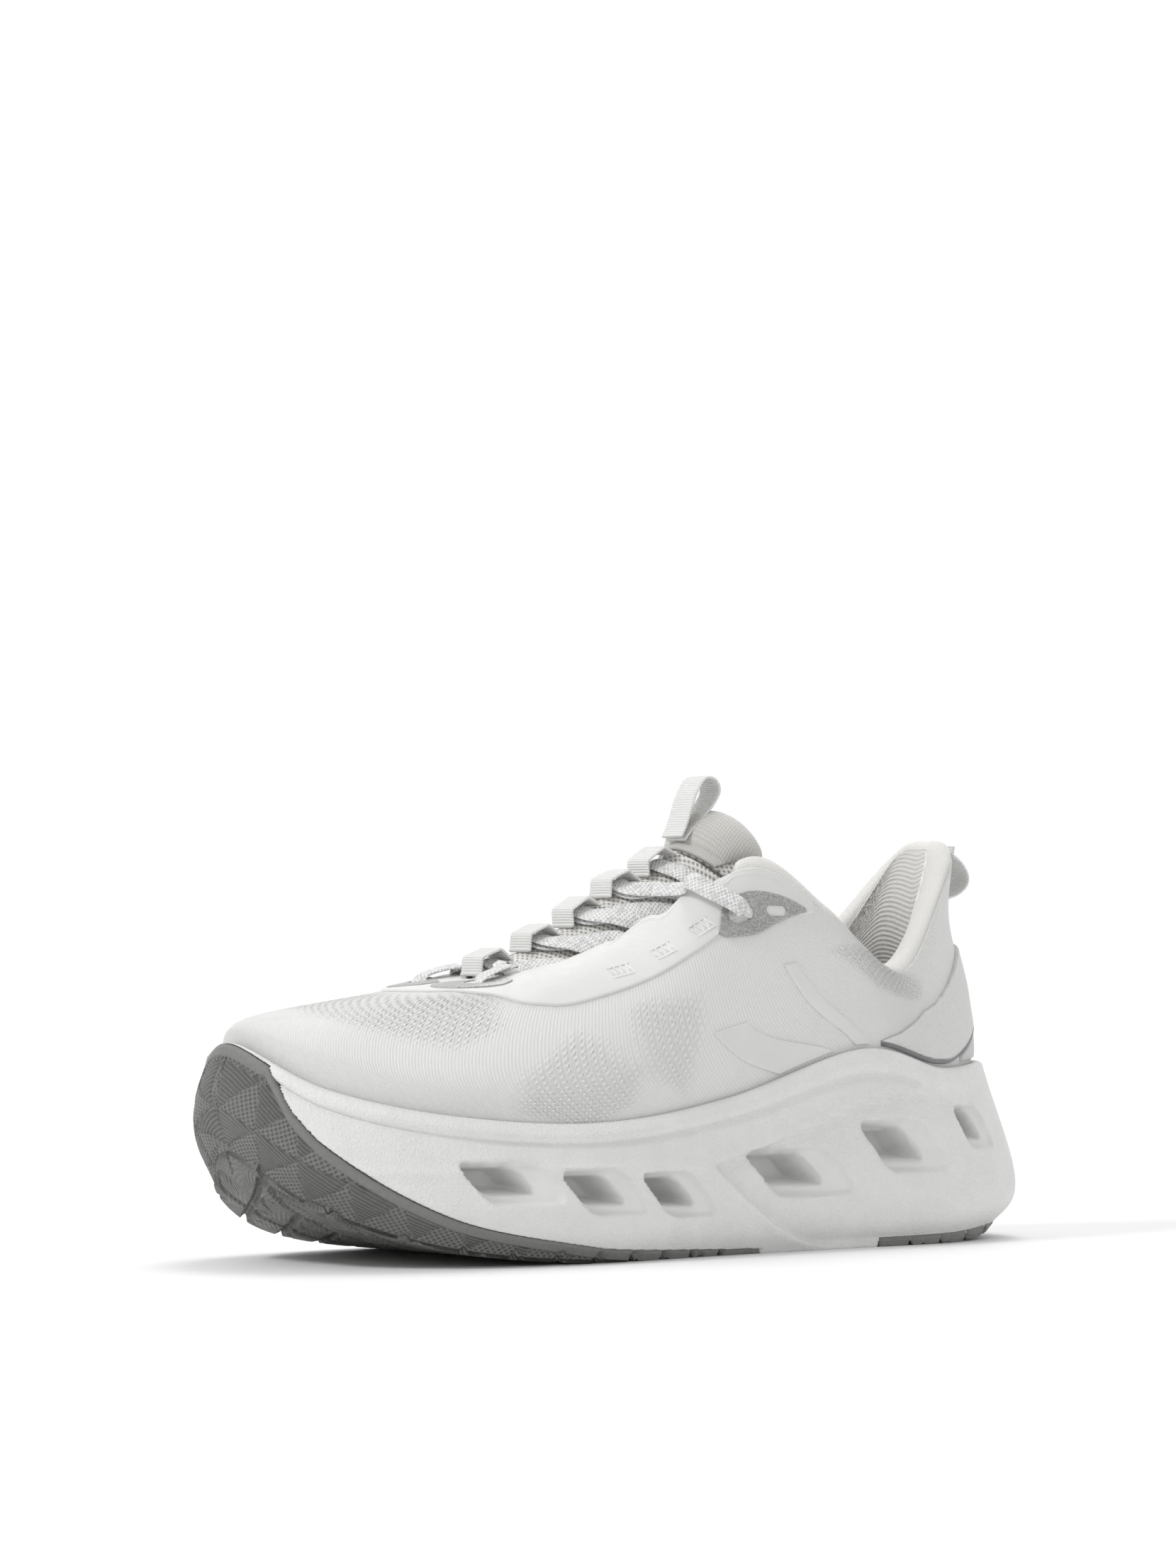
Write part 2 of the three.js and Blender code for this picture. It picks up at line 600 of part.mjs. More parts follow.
// The film round the throat: a plain outer edge, and a scalloped inner edge with a notch at each lace loop.
const NOTCHES = [6.47, 5.65, 4.98, 4.47];
const PEAKS = [6.02, 5.33, 4.69];
const NOTCH_DEPTH = 4.2;
const NOTCH_WIDTH = 0.16;
const FILM_END = 3.25;
const FILM_EDGE = [[3.25, 0.86], [4, 0.62], [4.5, 0.56], [5.5, 0.62], [6.5, 0.72], [7.25, 0.8], [8, 0.86]];

function filmTop(t) {
  const side = fold(t);
  const notch = NOTCHES.reduce((sum, n) => sum + Math.exp(-(((side - n) / NOTCH_WIDTH) ** 2)), 0);
  const hem = side <= COLLAR_FRONT ? HEM : lerp(HEM, 0.2, ease((side - COLLAR_FRONT) * 3));
  return below(t, hem + (side > COLLAR_FRONT ? NOTCH_DEPTH * notch : 0));
}

function throatFilm() {
  const ts = steps(FILM_END, TURN - FILM_END, 76);
  const film = patch(ts, (t) => table(FILM_EDGE, fold(t)), filmTop, 4, LAYER_GAP, FILM);
  return cut(film, allSlots());
}

// Reflective plate beside the collar's front corner; side 1 lateral, -1 medial.
const PLATE_LOW = [[3.35, 0.84], [3.9, 0.76], [4.3, 0.78]];
const PLATE_HIGH = [[3.35, 0.86], [3.6, 0.87], [4.3, 0.89]];
const TOP_SLOT = [4.1, 0.825, SLOT_WIDTH];
const FRONT_SLOT = [7.06, 0.915, FRONT_SLOT_WIDTH];
const OVER_FILM = LAYER_GAP + FILM + LAYER_GAP;

function sided(ts, side) {
  return side > 0 ? ts : ts.map((t) => TURN - t).reverse();
}

// A block that cuts a lace slot through every layer, its length along the throat.
function slotCutter(side, [at, v, width]) {
  const t = side > 0 ? at : TURN - at;
  const top = upperPoint(t, v, 6);
  const foot = upperPoint(t, v, -8);
  const run = unit(sub(upperBase(t + 0.03, v), upperBase(t - 0.03, v)));
  const up = unit(sub(top, foot));
  const across = cross(run, up);
  const frames = [foot, top].map((centre) => ({ centre, side: run, up: across }));
  const [a, b] = [SLOT_LENGTH / 2, width / 2];
  return sweep(frames, [[-a, -b], [a, -b], [a, b], [-a, b]]);
}

function eyeletPlate(side) {
  const ts = sided(steps(3.375, 4.3125, 8), side);
  const body = patch(ts, (t) => table(PLATE_LOW, fold(t)), (t) => table(PLATE_HIGH, fold(t)), 3,
    OVER_FILM, PLATE);
  return cut(body, [slotCutter(side, TOP_SLOT)]);
}

function vampCrescent(side) {
  const middle = 7.15;
  const half = 0.7;
  const ts = sided(steps(middle - half, middle + half, 10), side);
  const centre = (t) => lerp(0.87, 0.94, (fold(t) - middle + half) / (2 * half));
  const width = (t) => 0.004 + 0.03 * Math.sqrt(Math.max(0, 1 - ((fold(t) - middle) / half) ** 2));
  return cut(patch(ts, (t) => centre(t) - width(t), (t) => centre(t) + width(t), 2, OVER_FILM, PLATE),
    [slotCutter(side, FRONT_SLOT)]);
}

// A plain slanted band on the quarter: foot and head give [t from, t to, v].
function saddleBand(side, foot, head) {
  return slab(steps(0, 1, 6), steps(0, 1, 2), (k, a, face) => {
    const t = lerp(lerp(foot[0], foot[1], a), lerp(head[0], head[1], a), k);
    const v = lerp(foot[2], head[2], k);
    return upperPoint(side > 0 ? t : TURN - t, v, face ? LAYER_GAP + FILM : LAYER_GAP);
  });
}

const BAND_FRONT = [[3.2, 3.62, LIP_V], [3.95, 4.22, 0.54]];
const BAND_REAR = [[2.88, 3.02, LIP_V], [3.5, 3.62, 0.66]];

// Webbing sewn behind the knit, just below the lace's turn.
function laceLoop(i, side) {
  const t = (NOTCHES[i] + PEAKS[i]) / 2;
  const half = 0.12;
  return patch(sided(steps(t - half, t + half, 3), side), () => 0.76, () => 0.862, 3,
    -(MESH + LAYER_GAP + WEBBING), WEBBING);
}

// ---------------------------------------------------------------- tongue

function tongueMesh() {
  return slab(steps(0, 1, 11), steps(-1, 1, 10), (q, p, side) =>
    tonguePoint(q * flapStart(), p, side ? 0 : -TONGUE));
}

function tongueLining() {
  return slab(steps(0, 1, 11), steps(-0.8, 0.8, 8), (q, p, side) =>
    tonguePoint(q * flapStart(), p, -TONGUE - LAYER_GAP - (side ? 0 : TONGUE_LINING)));
}

// The q at which the tongue ends and the slit before its flap begins.
function flapStart() {
  const row = length(sub(tonguePoint(1, 0), tonguePoint(0.95, 0)));
  return 1 - 0.05 * FLAP_GAP / row;
}

// The free flap grows from the tongue's end row, back and up.
const FLAP_EDGE = 0.66;
const flapWay = unit([-0.9, 0, 0.42]);

function flapPoint(k, p, h) {
  const start = tonguePoint(1, p * FLAP_EDGE, 0);
  const spread = 1 + 0.45 * k;
  const grown = add([start[0], start[1] * spread, start[2]], flapWay, k * PAD_LENGTH);
  const sag = 5 * p * p * k;
  const lean = unit([0.15, 1.1 * p, 1]);
  return add(add(grown, [0, 0, sag]), lean, h);
}

const PAD_FRONT = 0.3;            // the pull tab is sewn ahead of this share of the flap

// Thickness of the pad: low at its rim, full inside.
function padRise(k, p) {
  return 1.6 + (PAD_HEIGHT - 1.6) * Math.sqrt(clamp(1 - p ** 4)) * Math.sqrt(clamp(4.6 * (k - PAD_FRONT) * (1.02 - k)));
}

function tonguePad() {
  return slab(steps(0, 1, 9), steps(-1, 1, 10), (k, p, side) => flapPoint(k, p, side ? padRise(k, p) : 0));
}

function flapLining() {
  return slab(steps(0, 1, 7), steps(-0.95, 0.95, 8), (k, p, side) =>
    flapPoint(k, p, side ? -0.4 : -0.4 - TONGUE_LINING));
}

// ---------------------------------------------------------------- webbing

// Frame on the tongue's middle line: centre, forward along the tongue, and up.
function tongueFrame(q) {
  const ahead = unit(sub(tonguePoint(q + 0.02, 0), tonguePoint(q - 0.02, 0)));
  const side = [0, 1, 0];
  return { centre: tonguePoint(q, 0), ahead, up: unit(cross(ahead, side)).map((c) => -c) };
}

const KEEPERS = [0.12, 0.39, 0.6, 0.76, 0.9];
const KEEPER_SLOPE = 0.6;
const SEAT = 0.35;                // sewn parts rest this far off the tongue

// A strip of webbing bent over the laces, with both feet on the tongue.
function keeper(q) {
  const { centre, ahead, up } = tongueFrame(q);
  const half = KEEPER_LENGTH / 2;
  const foot = 1.6;
  const high = KEEPER_HEIGHT;
  const arch = [[-half, SEAT + foldDrop(q)], [-half + foot, SEAT + foldDrop(q)], [-half + foot + KEEPER_SLOPE, high],
    [half - foot - KEEPER_SLOPE, high], [half - foot, SEAT + foldDrop(q)], [half, SEAT + foldDrop(q)]];
  const lift = (side) => arch.map(([a, b], i) => [a + (side && (i === 1 || i === 2) ? -0.9 : 0)
    + (side && (i === 3 || i === 4) ? 0.9 : 0), b + (side ? WEBBING : 0)]);
  const place = (p, y) => add(add(add(centre, ahead, p[0]), up, p[1]), [0, 1, 0], y);
  return slab(steps(0, 5, 5), [-KEEPER_WIDTH / 2, KEEPER_WIDTH / 2], (i, y, side) =>
    place(lift(side)[i], y));
}

// Feet of a straight strip clear the tongue's curved rise along its length.
function foldDrop(q) {
  const here = tongueFrame(q);
  const sags = [-1, 1].map((s) => {
    const reach = tonguePoint(q + s * 0.07, 0);
    const away = sub(reach, here.centre);
    return away[0] * here.up[0] + away[2] * here.up[2];
  });
  return Math.max(0, ...sags);
}

// A folded strip: up one ply, round a teardrop, down the other; outline in (along, out).
function pullTab() {
  const base = flapPoint(0.05, 0, padRise(0, 0) + SEAT + 1.6);
  const along = unit([-0.56, 0, 0.83]);
  const out = unit([0.83, 0, 0.56]);
  const fold = 3.9;
  const neck = 0.9;
  const line = [];
  for (const k of steps(0, 1, 5)) {
    line.push([k * (PULL_LENGTH - fold), neck + (fold - neck) * ease(k * 1.1)]);
  }
  for (const a of steps(Math.PI / 2, -Math.PI / 2, 8).slice(1, -1)) {
    line.push([PULL_LENGTH - fold + fold * Math.cos(a), fold * Math.sin(a)]);
  }
  for (const k of steps(1, 0, 5)) {
    line.push([k * (PULL_LENGTH - fold), -neck - (fold - neck) * ease(k * 1.1)]);
  }
  return loopStrip(line, WEBBING, PULL_WIDTH, (a, b, y) => add(add(add(base, along, a), out, b), [0, 1, 0], y));
}

// A strip of even thickness along a flat outline; place(a, b, y) sets it in space.
function loopStrip(line, thick, width, place) {
  const count = line.length;
  const normals = line.map((_, i) => {
    const before = line[Math.max(i - 1, 0)];
    const after = line[Math.min(i + 1, count - 1)];
    const run = [after[0] - before[0], after[1] - before[1]];
    const size = Math.hypot(run[0], run[1]);
    return [-run[1] / size, run[0] / size];
  });
  return slab(steps(0, count - 1, count - 1), [-width / 2, width / 2], (i, y, side) => {
    const k = Math.round(i);
    const d = side ? thick / 2 : -thick / 2;
    return place(line[k][0] + normals[k][0] * d, line[k][1] + normals[k][1] * d, y);
  });
}

// ---------------------------------------------------------------- lace

// The lace's route is a list of [surface, a, b, height, width share], chosen by hand: a, b are
// q, p on the tongue ('tongue') and t, v on the upper ('upper'); side 1 is the lateral half.
const LOW = 1.15;                  // the two strands cross in a keeper at these heights
const HIGH = 2.7;
const HIDDEN = -(MESH + LACE_ROOM + LACE / 2);
const EDGE_DEPTH = HIDDEN + 0.5;  // just inside the upper's edge
const qAt = (t) => (THROAT_FRONT - t) / (THROAT_FRONT - THROAT_TOP);

// From the middle of the front bar, up through the front slot and into the first keeper.
function laceStart(side) {
  return [['upper', 7.6, 0.928, HIDDEN], ['upper', 7.32, 0.918, HIDDEN], ['upper', 7.12, 0.912, -0.9],
    ['upper', 7.04, 0.92, 2.2], ['upper', 7.06, 0.95, 3.2], ['upper', 7.22, 0.98, 3.4],
    ['tongue', 0.1, 0.62, 7.4], ['tongue', 0.11, 0.45, 4.8]].map((p) => onSide(p, side));
}

function onSide([surface, a, b, h, wide = 1], side) {
  if (side > 0) {
    return [surface, a, b, h, wide];
  }
  return surface === 'tongue' ? [surface, a, -b, h, wide] : [surface, TURN - a, b, h, wide];
}

// Across keeper i, from side to the other side, at height h.
function laceCrossing(i, side, h) {
  const q = KEEPERS[i];
  const { left, right } = tongueSection(q);
  const clear = 2 * THROAT_EDGE * (KEEPER_WIDTH / 2 + 0.6) / length(sub(left, right));
  return [clear, 0, -clear].map((p) => ['tongue', q, side * p, h, 1]);
}

// Out of keeper i, under the film at its notch, round, and back out at the peak to keeper i + 1.
function laceTurn(i, side, from, to) {
  const [notch, peak] = [NOTCHES[i], PEAKS[i]];
  const tight = 0.62;
  return [['tongue', lerp(KEEPERS[i], qAt(notch), 0.5), 0.47, from],
    ['tongue', qAt(notch) - 0.01, 0.65, 1.7],
    ['upper', notch - 0.16, 0.97, EDGE_DEPTH, 0.7], ['upper', notch - 0.3, 0.945, HIDDEN, tight],
    ['upper', lerp(notch, peak, 0.5) - 0.3, 0.932, HIDDEN, tight],
    ['upper', peak - 0.26, 0.945, HIDDEN, tight], ['upper', peak - 0.16, 0.97, EDGE_DEPTH, 0.7],
    ['tongue', qAt(peak), 0.65, 1.7],
    ['tongue', lerp(qAt(peak), KEEPERS[i + 1], 0.5), 0.47, to]].map((p) => onSide(p, side));
}

// Out of the fourth keeper, over the film and the plate, and down through its slot.
function laceTop(side, from) {
  return [['tongue', 0.8, 0.42, from + 1.5], ['tongue', 0.84, 0.6, 7.4], ['upper', 4.66, 0.985, 4.6],
    ['upper', 4.45, 0.925, 3.9], ['upper', 4.22, 0.86, 4], ['upper', 4.12, 0.832, 3],
    ['upper', 4.1, 0.823, -0.5], ['upper', 4.1, 0.82, -4.5]].map((p) => onSide(p, side));
}

// The lateral end comes back up inside the collar, through the fifth keeper, and is tucked in.
function tuckedLateral() {
  const rise = [['upper', 4.1, 0.828, -7.6, 0.8], ['upper', 4.14, 0.86, -9, 0.8], ['upper', 4.2, 0.92, -9, 0.8],
    ['tongue', 0.93, 0.74, 1.6, 0.9], ['tongue', 0.91, 0.45, 1.9]].map((p) => onSide(p, 1));
  const down = [['tongue', 0.91, 0.45, 1.9], ['tongue', 0.93, 0.74, 1.6, 0.9],
    ['upper', 4.42, 0.93, -7.6, 0.8], ['upper', 4.45, 0.87, -8, 0.7]].map((p) => onSide(p, -1));
  return [...rise, ...laceCrossing(4, 1, 1.6), ...down];
}

function tuckedMedial() {
  return [['upper', 4.1, 0.82, -7.6, 0.9], ['upper', 4.06, 0.77, -9.6, 0.8],
    ['upper', 4, 0.7, -10.2, 0.7]].map((p) => onSide(p, -1));
}

// One half of the lace, from the front bar to its end; it crosses high and low by turns.
function laceHalf(side) {
  const heights = side > 0 ? [HIGH, LOW, HIGH, LOW] : [LOW, HIGH, LOW, HIGH];
  let here = side;
  const route = laceStart(side);
  for (let i = 0; i < 4; i += 1) {
    route.push(...laceCrossing(i, here, heights[i]));
    here = -here;
    if (i < 3) {
      route.push(...laceTurn(i, here, heights[i], heights[i + 1]));
    }
  }
  return [...route, ...laceTop(here, heights[3]), ...(here > 0 ? tuckedLateral() : tuckedMedial())];
}

const laceRoute = () => [...laceHalf(1).reverse(), onSide(['upper', 8, 0.932, HIDDEN], 1), ...laceHalf(-1)];

function routePoint([surface, a, b, h]) {
  return surface === 'tongue' ? tonguePoint(a, b, h) : upperPoint(a, b, h);
}

// Stations along the lace, two to a step of the route: its up direction leans to the surface
// below it, and turns smoothly where the lace dives through a slot.
function laceFrames() {
  const route = laceRoute();
  const points = route.map(routePoint);
  const normals = route.map(([surface, a, b, h], i) => unit(sub(routePoint([surface, a, b, h + 1]), points[i])));
  const widths = route.map(([, , , , wide]) => [wide, 0, 0]);
  const stations = steps(0, 1, 2 * (route.length - 1));
  const centres = stations.map((u) => onRow(points, u));
  let up = null;
  return stations.map((u, i) => {
    const ahead = unit(sub(centres[Math.min(i + 1, centres.length - 1)], centres[Math.max(i - 1, 0)]));
    const normal = unit(onRow(normals, u));
    const wanted = up === null ? normal : unit(mix(up, normal, 1 - dot(normal, ahead) ** 2));
    up = unit(add(wanted, ahead, -dot(wanted, ahead)));
    return { centre: centres[i], side: cross(up, ahead).map((c) => c * onRow(widths, u)[0]), up, ahead };
  });
}

function lace() {
  const [a, b] = [LACE_WIDTH / 2, LACE / 2];
  return sweep(laceFrames(), [[-a, -b], [a, -b], [a, b], [-a, b]]);
}

// A layer with room for the lace where the lace passes through its edge or presses into it;
// threads of material that the cut leaves loose at the edge are dropped.
function roomForLace(body) {
  const [a, b] = [LACE_WIDTH / 2 + LACE_CLEARANCE, LACE / 2 + LACE_CLEARANCE];
  const room = sweep(laceFrames(), [[-a, -b], [a, -b], [a, b], [-a, b]]);
  const parts = toManifold(cut(body, [room])).decompose();
  return fromManifold(parts.sort((one, other) => other.volume() - one.volume())[0]);
}

// A round sleeve beyond one end of the lace; end 0 lateral, 1 medial.
function aglet(end) {
  const frames = laceFrames();
  const last = end ? frames[frames.length - 1] : frames[0];
  const way = last.ahead.map((c) => (end ? c : -c));
  const gap = 0.3;
  const radius = 1.7;
  const side = unit(last.side);
  const ends = [gap, gap + AGLET_LENGTH].map((k) => ({ centre: add(last.centre, way, k), side, up: last.up }));
  const section = steps(0, 2 * Math.PI, 10).slice(0, -1).map((r) => [radius * Math.cos(r), radius * Math.sin(r)]);
  return sweep(ends, section);
}

// ---------------------------------------------------------------- heel loop

// Finger loop at the heel, sewn at both ends, bowed away from the heel.
const HEEL_LOOP_FOOT = 0.83;
const HEEL_LOOP_HEAD = 0.965;

function heelLoop() {
  const low = upperPoint(0, HEEL_LOOP_FOOT, SEAT + WEBBING);
  const high = upperPoint(0, HEEL_LOOP_HEAD, SEAT + WEBBING);
  const tail = 3;
  const rise = unit(sub(high, low));
  const out = [-rise[2], 0, rise[0]];
  const span = length(sub(high, low));
  const line = [[-tail, 0]];
  for (const k of steps(0, 1, 12)) {
    line.push([k * span, HEEL_LOOP_REACH * Math.sin(Math.PI * k) ** 0.7]);
  }
  line.push([span + tail, 0]);
  return loopStrip(line, WEBBING, HEEL_LOOP_WIDTH, (a, b, y) =>
    add(add(add(low, rise, a), out, b), [0, 1, 0], y));
}

// ---------------------------------------------------------------- assembly

const group = new THREE.Group();

function piece(name, geometry, color, roughness, metalness = 0) {
  const mesh = new THREE.Mesh(geometry, new THREE.MeshStandardMaterial({ color, roughness, metalness }));
  mesh.name = name;
  group.add(mesh);
}

const WHITE_KNIT = 0xe9e8e4;
const CREAM = 0xf1efe7;
const GREY_RUBBER = 0x9c9d9a;
const FOAM_WHITE = 0xf0f0ee;
const SILVER = 0xc4c5c3;

piece('outsole_forefoot', outsoleForefoot(), GREY_RUBBER, 0.75);
piece('outsole_heel', outsoleHeel(), GREY_RUBBER, 0.75);
piece('midsole', midsole(), FOAM_WHITE, 0.7);
piece('strobel_board', strobelBoard(), 0xd8d4c8, 0.95);
piece('insole_foam', insoleFoam(), 0xdcdcda, 0.9);
piece('insole_cover', insoleCover(), WHITE_KNIT, 0.95);
piece('upper_mesh', roomForLace(upperMesh()), WHITE_KNIT, 0.9);
piece('toe_puff', toePuff(), 0xd8d8d4, 0.8);
piece('heel_stiffener', heelStiffener(), 0xcfcfca, 0.6);
piece('collar_foam', collarFoam(), 0xefe9d8, 0.95);
piece('collar_lining', roomForLace(collarLining()), CREAM, 0.95);
piece('collar_roll', collarRoll(), CREAM, 0.9);
piece('heel_cup', heelCup(), 0xd9dad7, 0.5);
piece('heel_strap', heelStrap(), 0xc9c9c6, 0.9);
piece('throat_film', roomForLace(throatFilm()), 0xf2f1ee, 0.45);
for (const [name, side] of [['lateral', 1], ['medial', -1]]) {
  piece(`eyelet_plate_${name}`, roomForLace(eyeletPlate(side)), SILVER, 0.45, 0.3);
  piece(`vamp_crescent_${name}`, roomForLace(vampCrescent(side)), SILVER, 0.45, 0.3);
  piece(`saddle_band_front_${name}`, saddleBand(side, ...BAND_FRONT), 0xf3f2ef, 0.4);
  piece(`saddle_band_rear_${name}`, saddleBand(side, ...BAND_REAR), 0xf3f2ef, 0.4);
  PEAKS.forEach((_, i) => piece(`lace_loop_${name}_${i + 1}`, laceLoop(i, side), 0xe6e5e1, 0.85));
}
piece('tongue_mesh', roomForLace(tongueMesh()), CREAM, 0.95);
piece('tongue_lining', tongueLining(), CREAM, 0.95);
piece('tongue_pad', tonguePad(), CREAM, 0.85);
piece('flap_lining', flapLining(), CREAM, 0.95);
KEEPERS.forEach((q, i) => piece(`lace_keeper_${i + 1}`, keeper(q), 0xe6e5e1, 0.85));
piece('pull_tab', pullTab(), 0xe6e5e1, 0.85);
piece('heel_loop', heelLoop(), 0xe6e5e1, 0.85);
piece('lace', lace(), 0xdcdbd8, 0.9);
piece('aglet_medial', aglet(0), 0xe8e8e6, 0.3);
piece('aglet_lateral', aglet(1), 0xe8e8e6, 0.3);

export default group;
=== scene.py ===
"""Looks of a cushioned running shoe, left foot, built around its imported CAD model.

Shape functions work in millimetres in the model's frame: +X to the toe, +Y to the lateral
(outer) side, +Z up, ground at z = 0.  Meshes are written in metres.  Three smooth surfaces
carry nearly every piece, and each takes whole numpy arrays:
  sole_point(t, w, d)   outer wall of the sole, w = 0 at the tread's edge, 1 at the rim
  upper_point(t, v, d)  the upper, v = 0 in the sole's cup, 1 at the collar and the throat
  tongue_point(q, p, h) the tongue, q = 0 at its front, 1 where its free flap begins
t runs once round the shoe: 0 heel, 4 lateral midfoot, 8 toe, 12 medial midfoot, 16 heel.
"""

import math

import bmesh
import bpy
import numpy as np
from mathutils import Matrix, Vector


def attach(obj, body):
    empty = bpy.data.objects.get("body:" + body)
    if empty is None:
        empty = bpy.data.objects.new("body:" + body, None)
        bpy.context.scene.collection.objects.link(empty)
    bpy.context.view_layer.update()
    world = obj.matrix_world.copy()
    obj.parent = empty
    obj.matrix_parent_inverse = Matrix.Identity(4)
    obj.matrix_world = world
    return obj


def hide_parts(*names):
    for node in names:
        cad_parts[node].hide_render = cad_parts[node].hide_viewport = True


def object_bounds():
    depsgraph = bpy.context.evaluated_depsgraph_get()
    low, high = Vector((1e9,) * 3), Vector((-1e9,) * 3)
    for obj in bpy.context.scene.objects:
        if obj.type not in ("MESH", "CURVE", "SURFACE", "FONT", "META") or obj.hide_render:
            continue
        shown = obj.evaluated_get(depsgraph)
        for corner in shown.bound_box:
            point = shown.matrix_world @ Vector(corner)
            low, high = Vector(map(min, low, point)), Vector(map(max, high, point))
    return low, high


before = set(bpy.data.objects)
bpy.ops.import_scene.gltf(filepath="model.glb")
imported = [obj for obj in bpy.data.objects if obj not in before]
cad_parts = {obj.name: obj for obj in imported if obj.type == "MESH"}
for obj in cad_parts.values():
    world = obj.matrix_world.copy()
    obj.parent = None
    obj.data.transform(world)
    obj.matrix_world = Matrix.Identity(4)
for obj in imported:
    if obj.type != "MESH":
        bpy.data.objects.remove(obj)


def plain_box():
    """Lowest and highest corner of everything that shows, as plain lists."""
    return [[float(c) for c in corner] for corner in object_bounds()]


cad_box = plain_box()
MM = 0.001

# ------------------------------------------------------------------ sizes, as in the CAD source

MESH = 1.5                 # knit upper
LINING = 1.0               # collar lining
COUNTER = 1.6              # heel stiffener
COLLAR_PAD = 5.5           # collar foam where it is thickest
ROLL = 3.8                 # radius of the padded collar edge
LAYER_GAP = 0.55           # room between the upper's layers
RUBBER = 3.2               # outsole under the foot
RUBBER_WALL = 2.2          # and where it climbs the wall
INSOLE_INSET = 6.5
INSOLE_TOP = 6.8           # cover's top above the cup's floor
TONGUE = 1.4
PAD_HEIGHT = 9.0
PAD_LENGTH = 27.0
WEBBING = 1.0
KEEPER_WIDTH = 11.0
KEEPER_LENGTH = 13.5
KEEPER_HEIGHT = 4.6
PULL_WIDTH = 10.5
PULL_LENGTH = 23.0
HEEL_LOOP_WIDTH = 12.0
HEEL_LOOP_REACH = 8.0
LACE_WIDTH = 6.6
LACE = 1.0
LACE_ROOM = 0.9            # room for a hidden lace, on each side of it
SEAT = 0.35                # webbing stands this far off what it is sewn to

# ------------------------------------------------------------------ the last and the sole

# Each ring: heel, heel corner, five lateral, toe corner, toe, then the medial side back.
DRAWN_LENGTH = 291.7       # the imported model's length at which these rings are drawn
TREAD_EDGE = [
    [-137, 0, 5], [-130, 24, 3], [-104, 37, 0], [-60, 39, 0], [-8, 42, 0], [45, 48, 0], [93, 40, 5],
    [126, 19, 17], [140, -9, 33], [133, -29, 21], [106, -42, 7], [60, -47, 0], [5, -40, 0],
    [-52, -34, 0], [-104, -35, 0], [-130, -24, 3]]
SOLE_BULGE = [
    [-147, 0, 20], [-138, 29, 18], [-108, 43, 16], [-60, 45, 15], [-8, 48, 14], [45, 54, 14], [95, 47, 17],
    [131, 25, 30], [146, -9, 50], [138, -34, 38], [108, -48, 20], [60, -54, 14], [5, -46, 14],
    [-52, -40, 15], [-106, -41, 16], [-138, -29, 18]]
RIM = [
    [-134.5, 0, 57], [-127, 25, 57], [-101, 37, 55], [-66, 39.5, 62], [-8, 44.5, 47], [45, 49.5, 40],
    [95, 42.5, 43], [127.5, 22.5, 51], [141, -9, 66], [134, -31.5, 57], [108, -43, 46], [60, -48.5, 41],
    [5, -41, 47], [-52, -36, 60], [-101, -35.5, 55], [-127, -25, 57]]
UPPER = [
    [[-123, 0, 37], [-116, 19, 37], [-94, 29, 37], [-62, 31, 36], [-8, 35, 33], [43, 41, 30],
     [88, 35, 33], [117, 18, 40], [129, -9, 47], [124, -26, 44], [102, -36, 36], [58, -40, 31],
     [5, -33, 33], [-50, -28, 36], [-94, -28, 37], [-116, -19, 37]],
    [[-131, 0, 57], [-124, 22.5, 57], [-99, 33.5, 56], [-65, 36, 62], [-8, 41, 48], [44.5, 46, 42],
     [93, 39, 45], [123.5, 19, 53], [135.8, -9, 64.5], [129.8, -28.5, 58], [106, -40, 47], [59, -44.8, 42],
     [5, -37.6, 48], [-52, -32.5, 60], [-99, -32, 56], [-124, -22.5, 57]],
    [[-131, 0, 80], [-122, 22, 80], [-96, 33, 72], [-63, 35, 80], [-14, 40.5, 67], [40, 45, 57],
     [90, 38.5, 57], [120.5, 18.5, 65], [133.2, -9, 73], [127, -27.5, 69], [102, -39.5, 59],
     [54, -43.5, 58],
     [0, -37, 67], [-50, -32, 78], [-96, -31, 72], [-122, -21, 80]],
    [[-126.5, 0, 104], [-118, 18.5, 104], [-91, 31.5, 84], [-60, 33, 98], [-22, 34.5, 98],
     [20, 35, 82], [62, 28, 77], [97, 16, 77], [108, -7, 78.5], [101, -22, 77.5], [74, -30, 77],
     [30, -36, 82], [-18, -34, 98], [-54, -31, 98], [-91, -30, 84], [-118, -18.5, 104]],
    [[-130, 0, 130], [-121, 16.5, 125], [-86, 30, 91.5], [-58, 30, 110], [-31, 27, 125],
     [-3, 17, 108.5], [22, 16.5, 95.5], [45, 13, 88], [58, -1, 85], [46, -15, 88], [23, -18, 95.5],
     [-2, -18, 108.5], [-29, -26, 125], [-56, -29, 110], [-86, -29, 91.5], [-121, -16.5, 125]],
]
TURN = 16
RIM_V = 0.25               # the upper leaves the sole's cup here
LIP_V = 0.275              # overlays start just above the lip
SCALE = (cad_box[1][0] - cad_box[0][0]) / MM / DRAWN_LENGTH


def lerp(a, b, k):
    """a at k = 0 and b at k = 1, in a straight line."""
    return a + (b - a) * k


def ease(x):
    """3x^2 - 2x^3, held to 0..1."""
    x = np.clip(x, 0, 1)
    return x * x * (3 - 2 * x)


def length(a):
    """Length of each vector, kept as a column."""
    return np.linalg.norm(a, axis=-1, keepdims=True)


def unit(a):
    """Each vector divided by its own length."""
    return a / np.maximum(length(a), 1e-9)


def through(p0, p1, p2, p3, k):
    """Catmull-Rom: p1 at k = 0, p2 at k = 1, with the slope at each set by its two neighbours."""
    return p1 + 0.5 * k * (p2 - p0 + k * (2 * p0 - 5 * p1 + 4 * p2 - p3 + k * (3 * (p1 - p2) + p3 - p0)))


